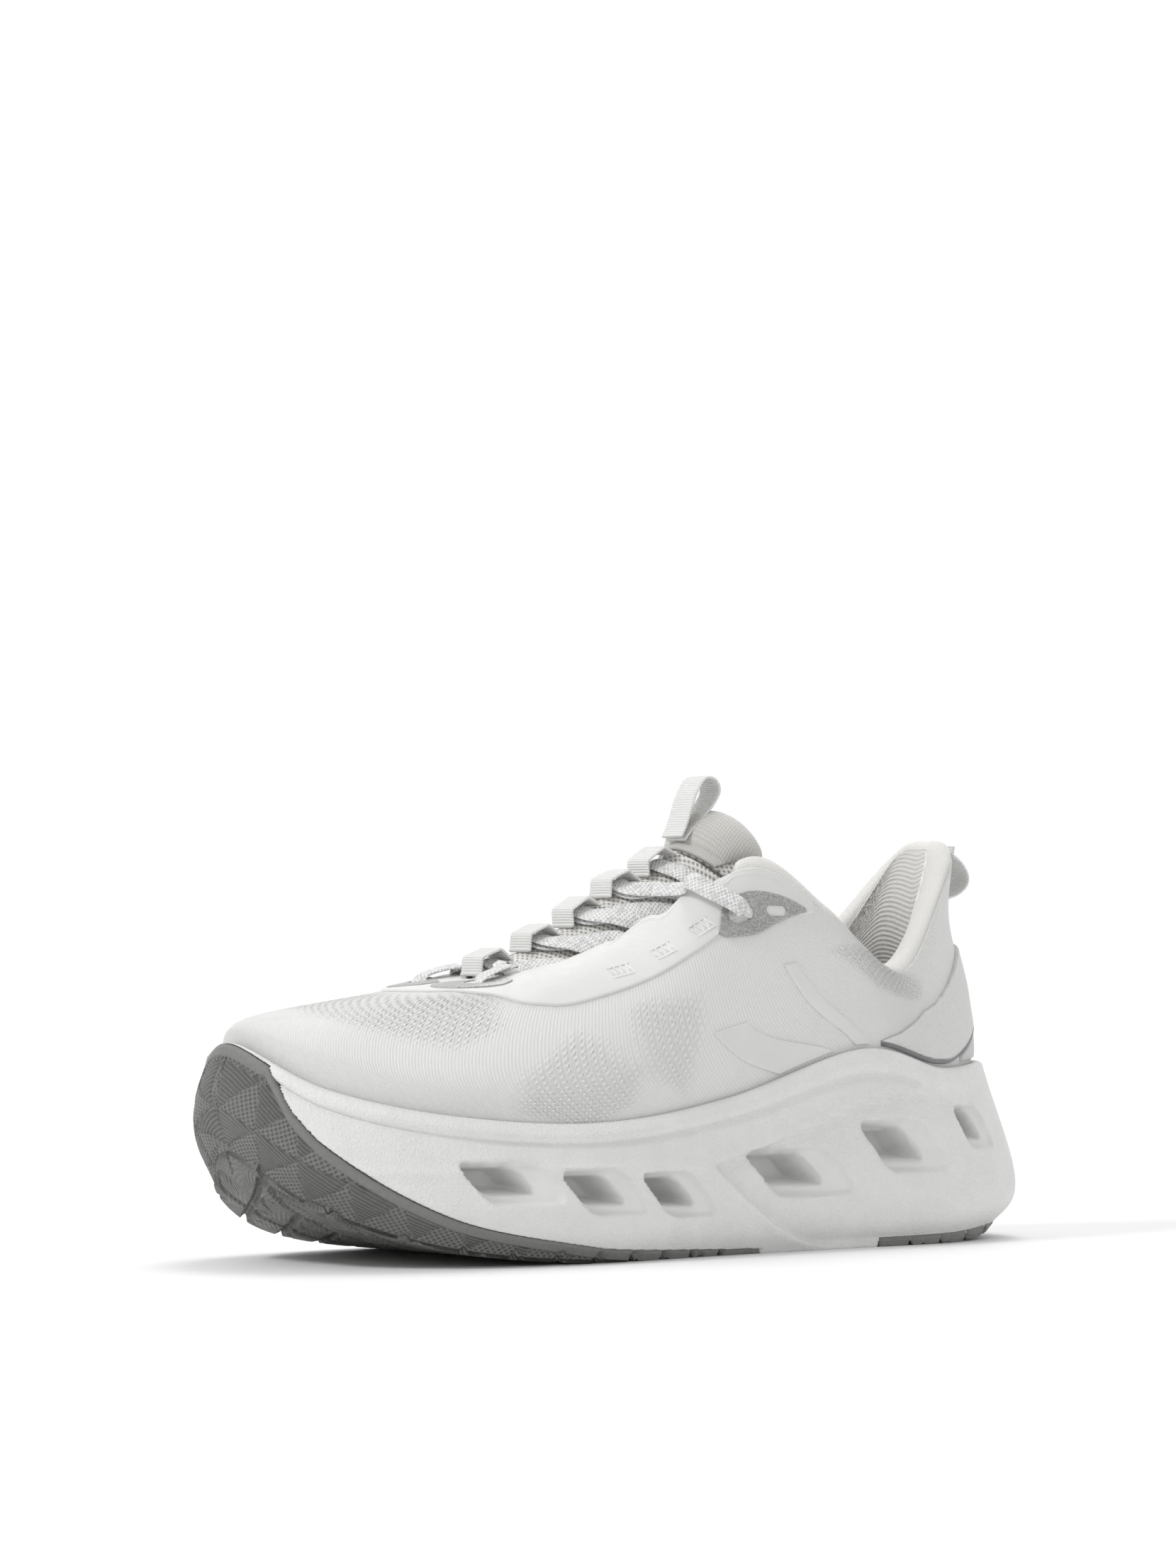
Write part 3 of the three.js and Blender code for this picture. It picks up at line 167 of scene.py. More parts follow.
def on_ring(points, t):
    """Point at t on a closed Catmull-Rom ring of 16 points."""
    points = np.asarray(points, float) * SCALE
    turn = np.mod(t, TURN)
    i = np.floor(turn).astype(int) % TURN
    pick = lambda j: points[(i + j) % TURN]
    return through(pick(-1), pick(0), pick(1), pick(2), (turn - np.floor(turn))[..., None])


def on_row(rows, u):
    """Point at u = 0..1 on an open Catmull-Rom row; rows is a stack of point arrays shaped like u."""
    last = len(rows) - 1
    rows = np.stack([2 * rows[0] - rows[1], *rows, 2 * rows[-1] - rows[-2]])
    x = np.clip(u, 0, 1) * last
    i = np.minimum(np.floor(x).astype(int), last - 1)
    pick = lambda j: np.take_along_axis(rows,
                                        np.broadcast_to((i + j)[None, ..., None], (1, *rows.shape[1:])),
                                        0)[0]
    return through(pick(0), pick(1), pick(2), pick(3), (x - i)[..., None])


def table(pairs, x):
    """Straight-line interpolation in (position, value) pairs."""
    return np.interp(x, [a for a, _ in pairs], [b for _, b in pairs])


def fold(t):
    """Lateral and medial sides share one description: 0 heel to 8 toe."""
    turn = np.mod(t, TURN)
    return np.minimum(turn, TURN - turn)


SOLE_STEP = 0.05           # t on each side of a point, to read the direction along the sole
TREAD_TILT, WALL_TILT = 70, 5   # degrees that outwards leans down, at the tread and on the wall
TILT_RUN = 0.4             # w at which the lean has become the wall's


def sole_point(t, w, d=0.0):
    """Wall curve through tread edge, bulge and rim; d moves out of the sole, downwards near the tread."""
    t, w, d = (np.asarray(a, float) for a in np.broadcast_arrays(t, w, d))
    wall = on_row([on_ring(TREAD_EDGE, t), on_ring(SOLE_BULGE, t), on_ring(RIM, t)], w)
    along = on_ring(SOLE_BULGE, t + SOLE_STEP) - on_ring(SOLE_BULGE, t - SOLE_STEP)
    out = unit(np.stack([-along[..., 1], along[..., 0], np.zeros(t.shape)], -1))
    tilt = np.radians(lerp(TREAD_TILT, WALL_TILT, ease(w / TILT_RUN)))
    wall[..., 2] = np.maximum(wall[..., 2], 0)
    moved = wall + out * (d * np.cos(tilt))[..., None]
    moved[..., 2] -= d * np.sin(tilt)
    return moved


UPPER_STEP = 0.02          # the same for the upper, in t and in v


def upper_base(t, v):
    """The upper's outer face: a smooth column through its five rings at t."""
    return on_row([on_ring(level, t) for level in UPPER], v)


def upper_point(t, v, d=0.0):
    """Surface through five rings, moved d along its normal: the cross product of up and along."""
    t, v, d = (np.asarray(a, float) for a in np.broadcast_arrays(t, v, d))
    h = UPPER_STEP
    along = upper_base(t + h, v) - upper_base(t - h, v)
    up = upper_base(t, np.minimum(v + h, 1)) - upper_base(t, np.maximum(v - h, 0))
    return upper_base(t, v) + unit(np.cross(up, along)) * d[..., None]


def below(t, distance):
    """The v that lies a distance below the upper's top edge, from lengths summed down each column."""
    t, distance = (np.asarray(a, float) for a in np.broadcast_arrays(t, distance))
    vs = np.linspace(1, 0.5, 60)
    flat = t.reshape(-1)
    column = upper_base(*np.broadcast_arrays(flat[:, None], vs[None, :]))
    gone = np.concatenate([np.zeros((len(flat), 1)), np.cumsum(length(np.diff(column, axis=1))[..., 0], 1)],
                          1)
    found = [np.interp(d, g, vs) for d, g in zip(distance.reshape(-1), gone)]
    return np.array(found).reshape(t.shape)


THROAT_FRONT = 7.75        # t at the front of the tongue
THROAT_TOP = 4.3           # t where the free flap begins
THROAT_EDGE = 0.72         # p where the tongue passes under the upper's edge
RISE_FRONT = 5.5           # crown of the tongue above its edges, front and top
RISE_TOP = 13.5
ROLL_FROM, ROLL_RUN = 0.7, 0.3   # q over which the tongue drops to clear the padded edge
TONGUE_STEP = 0.04         # q back from a point, to read the direction along the tongue
WING_FALL = 0.4            # v that the tongue's wings drop for each p


def tongue_section(q):
    """The tongue at q: two edges under the upper, opposite each other, and the crown between them."""
    t = lerp(THROAT_FRONT, THROAT_TOP, q)
    under = MESH + 2 * LACE_ROOM + LACE + (2 * ROLL - MESH) * ease((q - ROLL_FROM) / ROLL_RUN)
    left = upper_point(t, 1.0, -under)
    right = upper_point(TURN - t, 1.0, -under)
    return t, under, left, right, lerp(RISE_FRONT, RISE_TOP, q)[..., None]


def tongue_point(q, p, h=0.0):
    """A parabola across the throat between two edges under the upper, with wings that follow the upper."""
    q, p, h = (np.asarray(a, float) for a in np.broadcast_arrays(q, p, h))
    base = np.minimum(q, 1)
    t, under, left, right, rise = tongue_section(base)
    _, _, left_before, right_before, _ = tongue_section(base - TONGUE_STEP)
    ahead = (left + right) / 2 - (left_before + right_before) / 2
    side = unit(left - right)
    up = unit(np.cross(side, ahead))
    half = length(left - right) / 2
    a = (p / THROAT_EDGE)[..., None]
    crown = (left + right) / 2 + side * half * a + up * rise * (1 - a * a)
    crown_normal = unit(up + side * (2 * rise * a / half))
    v = np.clip(1 - (np.abs(p) - THROAT_EDGE) * WING_FALL, 0, 1)
    at = np.where(p > 0, t, TURN - t)
    wing = upper_point(at, v, -under)
    wing_normal = unit(upper_point(at, v, 0) - upper_point(at, v, -1))
    inside = (np.abs(p) <= THROAT_EDGE)[..., None]
    return np.where(inside, crown, wing) + np.where(inside, crown_normal, wing_normal) * h[..., None]


# ------------------------------------------------------------------ mesh building

def grid_quads(rows, columns, offset=0, close_rows=False, close_columns=False, flip=False):
    """Quads of a rows x columns grid whose points are numbered row by row."""
    i, j = np.meshgrid(np.arange(rows if close_rows else rows - 1),
                       np.arange(columns if close_columns else columns - 1), indexing="ij")
    i, j = i.ravel(), j.ravel()
    ahead, right = (i + 1) % rows, (j + 1) % columns
    quads = offset + np.stack([i * columns + j, ahead * columns + j, ahead * columns + right,
                               i * columns + right], 1)
    return quads[:, ::-1] if flip else quads


def build(name, points, quads, finish, slot, body, uv=None, marks=None, weld=0.0):
    """Writes one mesh: points in millimetres, quads, a map in millimetres, and named per-point values."""
    mesh = bpy.data.meshes.new(name)
    points = np.asarray(points, float).reshape(-1, 3) * MM
    quads = np.asarray(quads, np.int32)
    mesh.vertices.add(len(points))
    mesh.vertices.foreach_set("co", points.astype(np.float32).ravel())
    mesh.loops.add(quads.size)
    mesh.loops.foreach_set("vertex_index", quads.ravel())
    mesh.polygons.add(len(quads))
    mesh.polygons.foreach_set("loop_start", np.arange(0, quads.size, quads.shape[1], dtype=np.int32))
    mesh.polygons.foreach_set("loop_total", np.full(len(quads), quads.shape[1], np.int32))
    mesh.update(calc_edges=True)
    if uv is not None:
        layer = mesh.uv_layers.new(name="cloth")
        layer.data.foreach_set("uv", np.asarray(uv, np.float32).reshape(-1, 2)[quads.ravel()].ravel())
    for key, values in (marks or {}).items():
        attribute = mesh.attributes.new(key, "FLOAT", "POINT")
        attribute.data.foreach_set("value", np.asarray(values, np.float32).ravel())
    obj = bpy.data.objects.new(name, mesh)
    bpy.context.scene.collection.objects.link(obj)
    settle(obj, weld)
    mesh.polygons.foreach_set("use_smooth", np.full(len(mesh.polygons), True))
    mesh.materials.append(finish)
    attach(obj, body)
    return obj


def settle(obj, weld):
    """Joins points that lie together and turns the faces outwards."""
    work = bmesh.new()
    work.from_mesh(obj.data)
    if weld:
        bmesh.ops.remove_doubles(work, verts=work.verts, dist=weld * MM)
    bmesh.ops.recalc_face_normals(work, faces=work.faces)
    work.to_mesh(obj.data)
    work.free()


def arc_map(points):
    """Map of a grid in millimetres: length along each row, and along each column."""
    along = np.concatenate([np.zeros((1, points.shape[1], 1)),
                            np.cumsum(length(np.diff(points, axis=0)), 0)])
    across = np.concatenate([np.zeros((points.shape[0], 1, 1)),
                             np.cumsum(length(np.diff(points, axis=1)), 1)], 1)
    return np.concatenate([along, across], -1)


def shell(name, outer, inner, finish, slot, body, closed=False, uv=None, marks=None, weld=0.01):
    """A closed sheet between two grids of points, joined round its edges."""
    rows, columns = outer.shape[:2]
    count = rows * columns
    quads = [grid_quads(rows, columns, 0, closed), grid_quads(rows, columns, count, closed, flip=True)]
    edge_columns = [np.arange(rows) * columns, np.arange(rows) * columns + columns - 1]
    for k, line in enumerate(edge_columns):
        here = line if closed else line[:-1]
        after = np.roll(line, -1) if closed else line[1:]
        strip = np.stack([here, here + count, after + count, after], 1)
        quads.append(strip[:, ::-1] if k else strip)
    if not closed:
        for k, line in enumerate([np.arange(columns), np.arange(columns) + (rows - 1) * columns]):
            strip = np.stack([line[:-1], line[1:], line[1:] + count, line[:-1] + count], 1)
            quads.append(strip[:, ::-1] if k else strip)
    uv = arc_map(outer) if uv is None else uv
    both = {key: np.stack([value, 0 * value]) for key, value in (marks or {}).items()}
    return build(name, np.stack([outer, inner]), np.concatenate(quads), finish, slot, body,
                 np.stack([uv, uv]), both, weld)


TUBE_WELD = 0.005          # points this near are one, so that a tube's end fans close


def tube(name, rings, finish, slot, body, uv=None):
    """A closed tube through equal rings of points, with a middle point's fan as each end."""
    count, sides = rings.shape[:2]
    first, last = (np.repeat(ring.mean(1, keepdims=True), sides, 1) for ring in (rings[:1], rings[-1:]))
    grid = np.concatenate([first, rings, last])
    uv = arc_map(grid) if uv is None else uv
    return build(name, grid, grid_quads(count + 2, sides, 0, False, True), finish, slot, body, uv,
                 weld=TUBE_WELD)


def frames_along(points):
    """Direction of travel at each point of a line."""
    return unit(np.gradient(points, axis=0))


def bead(points, up, wide, high, sides=8):
    """Rings of an oval section carried along a line; up is the section's height direction."""
    ahead = frames_along(points)
    side = unit(np.cross(up, ahead))
    up = unit(np.cross(ahead, side))
    a = np.linspace(0, 2 * np.pi, sides, endpoint=False)
    wide, high = (np.broadcast_to(np.asarray(x, float), len(points))[:, None, None] for x in (wide, high))
    across = side[:, None] * np.cos(a)[None, :, None] * wide
    return points[:, None] + across + up[:, None] * np.sin(a)[None, :, None] * high


# ------------------------------------------------------------------ finishes

class Finish:
    """A Principled surface and short calls that add nodes to it."""

    def __init__(self, name, roughness=0.7, **sockets):
        self.material = bpy.data.materials.new(name)
        self.material.use_nodes = True
        self.tree = self.material.node_tree
        self.surface = self.tree.nodes["Principled BSDF"]
        self.surface.inputs["Roughness"].default_value = roughness
        for key, value in sockets.items():
            self.surface.inputs[key.replace("_", " ")].default_value = value

    def node(self, kind, inputs=None, **settings):
        """Adds one node; an input is a value, or a socket to link."""
        made = self.tree.nodes.new(kind)
        for key, value in settings.items():
            setattr(made, key, value)
        for key, value in (inputs or {}).items():
            if isinstance(value, bpy.types.NodeSocket):
                self.tree.links.new(value, made.inputs[key])
            else:
                made.inputs[key].default_value = value
        return made

    def place(self, scale=1.0, cloth=False, turn=0.0, stretch=(1, 1, 1)):
        """Coordinates in millimetres times scale: the piece's own map, or the model's frame."""
        coordinates = self.node("ShaderNodeTexCoord").outputs["UV" if cloth else "Object"]
        unit_scale = scale if cloth else scale / MM
        return self.node("ShaderNodeMapping", {
            "Vector": coordinates, "Rotation": (0, 0, turn),
            "Scale": tuple(unit_scale * s for s in stretch)}).outputs[0]

    def noise(self, size, detail=2.0, cloth=False, **more):
        """Cloudy noise with clumps about size wide, 0 to 1."""
        return self.node("ShaderNodeTexNoise", {
            "Vector": self.place(1 / size, cloth, **more), "Scale": 1.0, "Detail": detail}).outputs["Fac"]

    def cells(self, size, cloth=False, feature="F1", output="Distance", **more):
        """Cells about size wide: distance from each one's middle, or its own colour."""
        return self.node("ShaderNodeTexVoronoi", {
            "Vector": self.place(1 / size, cloth, **more), "Scale": 1.0}, feature=feature).outputs[output]

    def wave(self, pitch, turn=0.0, cloth=True, distortion=0.0, profile="SIN", **more):
        """Bands across the first map direction, one to each pitch."""
        return self.node("ShaderNodeTexWave", {
            "Vector": self.place(1 / pitch, cloth, turn, **more), "Scale": math.pi / 10,
            "Distortion": distortion,
            "Detail": 1.0}, wave_profile=profile).outputs["Fac"]

    def crossed(self, pitch, lean, operation="MULTIPLY"):
        """Two sets of bands that lean to either side, joined point by point."""
        return self.math(operation, self.wave(pitch, lean), self.wave(pitch, -lean))

    def math(self, operation, a, b=0.0):
        """One sum on two values."""
        return self.node("ShaderNodeMath", {0: a, 1: b}, operation=operation).outputs[0]

    def mark(self, name):
        """A named value that the piece carries at each of its points."""
        return self.node("ShaderNodeAttribute", attribute_name=name).outputs["Fac"]

    def blend(self, factor, a, b):
        """Colour a where factor is 0, b where it is 1."""
        mixer = self.node("ShaderNodeMix", data_type="RGBA")
        for slot, value in ((0, factor), (6, a), (7, b)):
            if isinstance(value, bpy.types.NodeSocket):
                self.tree.links.new(value, mixer.inputs[slot])
            else:
                mixer.inputs[slot].default_value = value if slot == 0 else (*value, 1)
        return mixer.outputs[2]

    def spread(self, value, low, high, to_low=0.0, to_high=1.0):
        """Carries low..high over to to_low..to_high, and holds it there."""
        return self.node("ShaderNodeMapRange", {
            "Value": value, "From Min": low, "From Max": high, "To Min": to_low,
            "To Max": to_high}).outputs[0]

    def colour(self, value):
        """Links the surface's colour."""
        self.tree.links.new(value, self.surface.inputs["Base Color"])
        return self

    def rough(self, value):
        """Links the surface's roughness."""
        self.tree.links.new(value, self.surface.inputs["Roughness"])
        return self

    def relief(self, *layers):
        """Stacks bump layers, each (height, depth in millimetres)."""
        normal = None
        for height, depth in layers:
            inputs = {"Height": height, "Distance": depth * MM, "Strength": 1.0}
            if normal is not None:
                inputs["Normal"] = normal
            normal = self.node("ShaderNodeBump", inputs).outputs[0]
        self.tree.links.new(normal, self.surface.inputs["Normal"])
        return self


def foam_finish(name="midsole_foam"):
    """Moulded foam: fine pebble grain on the wall, smooth inside the windows, faint handling marks."""
    f = Finish(name, 0.62, Specular_IOR_Level=0.35)
    smooth = f.mark("smooth")
    grain = f.math("MULTIPLY", f.cells(0.75), f.math("SUBTRACT", 1.0, smooth))
    soft = f.noise(9, 3)
    f.colour(f.blend(f.spread(soft, 0.3, 0.75), (0.74, 0.74, 0.735), (0.78, 0.779, 0.771)))
    f.rough(f.spread(f.noise(1.2, 3), 0.3, 0.7, 0.55, 0.7))
    return f.relief((grain, 0.22), (f.noise(0.35, 2), 0.03)).material


def rubber_finish(name="outsole_rubber"):
    """Grey blown rubber with a fine mould grain and slightly scuffed high spots; painted shade darkens the
    grooves of its ribs and hatching.
    """
    f = Finish(name, 0.5, Specular_IOR_Level=0.45)
    worn = f.spread(f.noise(1.4, 3), 0.3, 0.8)
    panel, upright = f.mark("panel"), f.mark("upright")
    hatch = f.crossed(1.5, 0.75)
    ribs = f.node("ShaderNodeMix", {0: upright, 2: f.wave(1.25, 1.35), 3: hatch},
                  data_type="FLOAT").outputs[0]
    ribs = f.math("MULTIPLY", ribs, panel)
    tone = f.blend(worn, (0.18, 0.182, 0.172), (0.21, 0.213, 0.203))
    # painted shade: the grooves of the ribs and hatching are darkened towards a shaded rubber tone
    f.colour(f.blend(f.math("MULTIPLY", ribs, 0.75), tone, (0.095, 0.097, 0.09)))
    f.rough(f.spread(f.noise(2.0, 4), 0.3, 0.7, 0.42, 0.62))
    return f.relief((f.math("SUBTRACT", 1.0, ribs), 0.55), (f.noise(0.4, 3), 0.07),
                    (f.cells(1.1), 0.05)).material


def knit_finish(name="upper_knit"):
    """Engineered knit: fine slanted rows everywhere, raised bubbles with small holes where marked; the
    bubbles carry a painted highlight and the holes painted shade.
    """
    f = Finish(name, 0.85, Sheen_Weight=0.25, Sheen_Roughness=0.5)
    bubble = f.mark("bubble")
    rows = f.wave(0.95, 0.5, distortion=0.6)
    stitch = f.wave(0.62, 0.5 + math.pi / 2, distortion=0.8)
    fine = f.math("MULTIPLY", rows, f.math("ADD", 0.45, f.math("MULTIPLY", stitch, 0.55)))
    loop = f.crossed(2.3, 0.55)
    dome = f.math("MULTIPLY", f.spread(loop, 0.1, 0.75), bubble)
    hole = f.math("MULTIPLY", f.spread(loop, 0.28, 0.08), bubble)
    shade = f.blend(f.spread(fine, 0.15, 0.8), (0.71, 0.708, 0.695), (0.84, 0.838, 0.825))
    # painted shade: the holes between the bubbles are darkened
    shade = f.blend(f.math("MULTIPLY", hole, 0.45), shade, (0.54, 0.54, 0.53))
    # painted highlight: the bubbles' raised tops are lightened
    shade = f.blend(f.math("MULTIPLY", dome, 0.5), shade, (0.88, 0.88, 0.87))
    f.colour(f.blend(f.spread(f.noise(14, 3), 0.3, 0.7, 0.0, 0.14), shade, (0.70, 0.70, 0.695)))
    return f.relief((dome, 0.35), (fine, 0.15), (f.noise(0.3, 2), 0.04)).material


def film_finish(name="throat_film"):
    """Thin fused film, satin, that takes a faint print of the knit under it."""
    f = Finish(name, 0.5, Specular_IOR_Level=0.35)
    f.colour(f.blend(f.spread(f.noise(18, 3), 0.3, 0.7), (0.70, 0.698, 0.688), (0.74, 0.738, 0.728)))
    f.rough(f.spread(f.noise(2.5, 3), 0.3, 0.7, 0.45, 0.56))
    return f.relief((f.noise(3.0, 2), 0.16), (f.wave(0.95, 0.5), 0.012)).material


def reflective_finish(name="reflective_plate"):
    """Grey retro-reflective film: crowded glass flakes that differ in brightness."""
    f = Finish(name, 0.42, Metallic=0.35, Specular_IOR_Level=0.6)
    flake = f.cells(0.42, output="Color")
    bright = f.node("ShaderNodeSeparateColor", {"Color": flake}).outputs[0]
    f.colour(f.blend(f.spread(bright, 0.1, 0.95), (0.30, 0.305, 0.295), (0.50, 0.505, 0.495)))
    f.rough(f.spread(bright, 0, 1, 0.3, 0.55))
    return f.relief((bright, 0.05), (f.noise(2.0, 2), 0.05)).material


def padding_finish(name, low, high, pitch=0.9, sheen=0.4):
    """Soft knitted cover over foam: fine ribs crossed by loops, with a light bloom of fibre."""
    f = Finish(name, 0.9, Sheen_Weight=sheen, Sheen_Roughness=0.45)
    ribs = f.wave(pitch, 0.0)
    loops = f.wave(pitch * 0.8, math.pi / 2, distortion=0.7)
    cloth = f.math("ADD", f.math("MULTIPLY", ribs, 0.5), f.math("MULTIPLY", loops, 0.5))
    tone = f.blend(f.spread(cloth, 0.15, 0.8), low, high)
    f.colour(f.blend(f.spread(f.noise(11, 3), 0.3, 0.7, 0.0, 0.2), tone, low))
    return f.relief((cloth, 0.15), (f.noise(0.3, 2), 0.05)).material


def lining_finish(name="lining_knit"):
    """Collar lining: raised ribs that run round the ankle, with knit loops between them."""
    f = Finish(name, 0.92, Sheen_Weight=0.4, Sheen_Roughness=0.5)
    ribs = f.wave(1.5, math.pi / 2)
    loops = f.cells(0.85, True)
    tone = f.blend(f.spread(ribs, 0.1, 0.9), (0.76, 0.75, 0.725), (0.87, 0.862, 0.84))
    f.colour(f.blend(f.spread(loops, 0.2, 0.7, 0.0, 0.3), tone, (0.70, 0.69, 0.66)))
    return f.relief((ribs, 0.28), (loops, 0.14)).material


def open_mesh_finish(name="open_mesh"):
    """Open diamond mesh: crossed cords with eyes between them, darkened with painted shade."""
    f = Finish(name, 0.9, Sheen_Weight=0.3, Sheen_Roughness=0.5)
    eye = f.crossed(1.7, 0.62)
    # painted shade: the sunk eyes between the cords are darkened
    tone = f.blend(f.spread(eye, 0.3, 0.75), (0.80, 0.79, 0.755), (0.36, 0.35, 0.33))
    f.colour(f.blend(f.spread(f.noise(0.6, 2), 0.3, 0.7, 0.0, 0.2), tone, (0.60, 0.59, 0.56)))
    return f.relief((f.math("SUBTRACT", 1.0, eye), 0.5), (f.noise(0.4, 2), 0.06)).material


def webbing_finish(name="webbing", pitch=0.85):
    """Grosgrain: firm ribs across the tape, crossed by fine threads."""
    f = Finish(name, 0.75, Sheen_Weight=0.25, Sheen_Roughness=0.4)
    ribs = f.wave(pitch, 0.0)
    threads = f.wave(0.45, math.pi / 2, distortion=0.5)
    cloth = f.math("ADD", f.math("MULTIPLY", ribs, 0.75), f.math("MULTIPLY", threads, 0.25))
    f.colour(f.blend(f.spread(cloth, 0.1, 0.85), (0.72, 0.717, 0.70), (0.90, 0.897, 0.885)))
    return f.relief((cloth, 0.3)).material


def lace_finish(name="lace_braid"):
    """Flat braid: slanted plaits either side of the middle, of white and pale grey yarns, with painted shade
    in the creases between the plaits.
    """
    f = Finish(name, 0.82, Sheen_Weight=0.3, Sheen_Roughness=0.45)
    plait = f.crossed(1.15, 0.62, "MAXIMUM")
    yarn = f.cells(1.15, True, output="Color")
    pick = f.node("ShaderNodeSeparateColor", {"Color": yarn}).outputs[0]
    tone = f.blend(f.spread(pick, 0.55, 0.8), (0.87, 0.87, 0.862), (0.68, 0.684, 0.68))
    # painted shade: the creases between the plaits are darkened
    f.colour(f.blend(f.spread(plait, 0.95, 0.55, 0.0, 0.35), tone, (0.45, 0.45, 0.45)))
    return f.relief((plait, 0.32), (f.noise(0.35, 2), 0.05)).material


def strap_finish(name="strap_knit"):
    """Flat knitted tape of the heel strap: narrow ribs along it, dark at its lower edge."""
    f = Finish(name, 0.85, Sheen_Weight=0.25, Sheen_Roughness=0.5)
    ribs = f.wave(0.9, 0.35)
    loops = f.wave(0.7, 0.35 + math.pi / 2, distortion=0.5)
    cloth = f.math("MULTIPLY", ribs, f.math("ADD", 0.5, f.math("MULTIPLY", loops, 0.5)))
    tone = f.blend(f.spread(cloth, 0.1, 0.8), (0.65, 0.65, 0.64), (0.80, 0.797, 0.783))
    f.colour(f.blend(f.mark("trim"), tone, (0.23, 0.235, 0.24)))
    return f.relief((cloth, 0.2), (f.noise(0.4, 2), 0.04)).material


def cup_finish(name="heel_cup_film"):
    """Smooth pale grey moulded film over the heel counter."""
    f = Finish(name, 0.4, Specular_IOR_Level=0.5)
    f.colour(f.blend(f.spread(f.noise(15, 3), 0.3, 0.7), (0.50, 0.503, 0.50), (0.56, 0.563, 0.56)))
    f.rough(f.spread(f.noise(3, 3), 0.3, 0.7, 0.34, 0.46))
    return f.relief((f.noise(1.5, 2), 0.03)).material


def thread_finish(name, tone):
    """Twisted sewing thread."""
    f = Finish(name, 0.6)
    f.colour(f.blend(f.spread(f.noise(0.5, 2), 0.3, 0.7), tuple(0.88 * c for c in tone), tone))
    return f.relief((f.wave(0.5, 0.8), 0.04)).material


def board_finish(name="strobel_board"):
    """Pressed fibre board with loose fibres."""
    f = Finish(name, 0.95)
    f.colour(f.blend(f.spread(f.noise(1.5, 5), 0.35, 0.65), (0.55, 0.52, 0.45), (0.70, 0.67, 0.60)))
    return f.relief((f.noise(0.8, 5, stretch=(1, 3, 1)), 0.15)).material


def stiffener_finish(name="stiffener"):
    """Hot-pressed fibre sheet."""
    f = Finish(name, 0.7)
    f.colour(f.blend(f.spread(f.noise(2, 4), 0.3, 0.7), (0.60, 0.60, 0.57), (0.70, 0.70, 0.67)))
    return f.relief((f.noise(0.6, 4), 0.08)).material


def aglet_finish(name="aglet_sleeve"):
    """Hard clear sleeve, crimped over the white braid."""
    f = Finish(name, 0.16, Coat_Weight=0.6, Coat_Roughness=0.08)
    f.colour(f.blend(f.spread(f.noise(1.2, 2), 0.3, 0.7), (0.72, 0.72, 0.71), (0.84, 0.84, 0.83)))
    return f.relief((f.noise(2.5, 1), 0.06)).material


FOAM = foam_finish()
GREY_RUBBER = rubber_finish()
KNIT = knit_finish()
FILM_WHITE = film_finish()
REFLECTIVE = reflective_finish()
COLLAR_CLOTH = padding_finish("collar_cloth", (0.70, 0.69, 0.66), (0.85, 0.842, 0.815), 0.85)
PAD_CLOTH = padding_finish("pad_cloth", (0.50, 0.492, 0.465), (0.62, 0.612, 0.585), 1.05, 0.3)
INSOLE_CLOTH = padding_finish("insole_cloth", (0.56, 0.56, 0.555), (0.74, 0.74, 0.735), 1.1, 0.2)
LINING_KNIT = lining_finish()
OPEN_MESH = open_mesh_finish()
TAPE = webbing_finish()
BRAID = lace_finish()
STRAP_KNIT = strap_finish()
CUP_FILM = cup_finish()
PALE_THREAD = thread_finish("pale_thread", (0.93, 0.93, 0.92))
BOARD = board_finish()
STIFFENER = stiffener_finish()
SLEEVE = aglet_finish()

# ------------------------------------------------------------------ sole

# Height of the rubber's edge on the wall, as w, from the heel (0) to the toe (8).
RUBBER_EDGE = [(0, 0.14), (1, 0.1), (2, 0.06), (3.4, 0.03), (4, 0.06), (5, 0.17), (6, 0.42),
               (6.5, 0.56), (7, 0.7), (7.25, 0.8), (7.5, 1), (8, 1)]
FOREFOOT_START = 3.75
HEEL_OUTSOLE_END = 2.75
RUBBER_BORDER = 3.2        # smooth raised border along the rubber's edge
WALL_RELIEF = 1.2          # how far the panels lie under the border
TREAD_DEPTH = 1.9
GLUE_LINE = 0.35
RUBBER_LIFT = 0.12         # the rubber's high spots stand this far proud of the foam's line


def groove(distance, half_width, softness=0.5):
    """1 in a groove, 0 outside, with a soft edge; distance is from the groove's middle."""
    return 1 - ease((np.abs(distance) - half_width) / softness + 0.5)


def near_multiple(x, pitch):
    """Distance from x to the nearest multiple of pitch."""
    return np.abs(np.mod(x + pitch / 2, pitch) - pitch / 2)


LUG_PITCH = 13.5
CHANNEL_SLANT = 0.45       # a cross channel runs back this much for each millimetre outwards
CHANNEL_HALF = 1.0         # half widths of the cross channels and the long ones
LONG_HALF = 1.3
LONG_AWAY = 19             # the outer long channels' distance from the middle line
MOON_RADIUS = 4.6
MOON_HALF = 0.6
MOON_SHARE = 0.45          # depth of a half-moon as a share of a channel's


def tread_pattern(x, y):
    """Slanted channels between lugs, channels along the foot, and a half-moon cut in each lug."""
    slanted = x + CHANNEL_SLANT * np.abs(y)
    lengthwise = np.minimum(np.abs(np.abs(y) - LONG_AWAY - 0.03 * x), np.abs(y - 0.02 * x))
    channel = np.maximum(groove(near_multiple(slanted, LUG_PITCH), CHANNEL_HALF),
                         groove(lengthwise, LONG_HALF))
    along = np.mod(slanted, LUG_PITCH) - LUG_PITCH / 2
    across = np.mod(y, LUG_PITCH) - LUG_PITCH / 2
    moon = groove(np.hypot(along, across) - MOON_RADIUS, MOON_HALF, 0.9) * ease(along / 1.5)
    return np.maximum(channel, MOON_SHARE * moon)


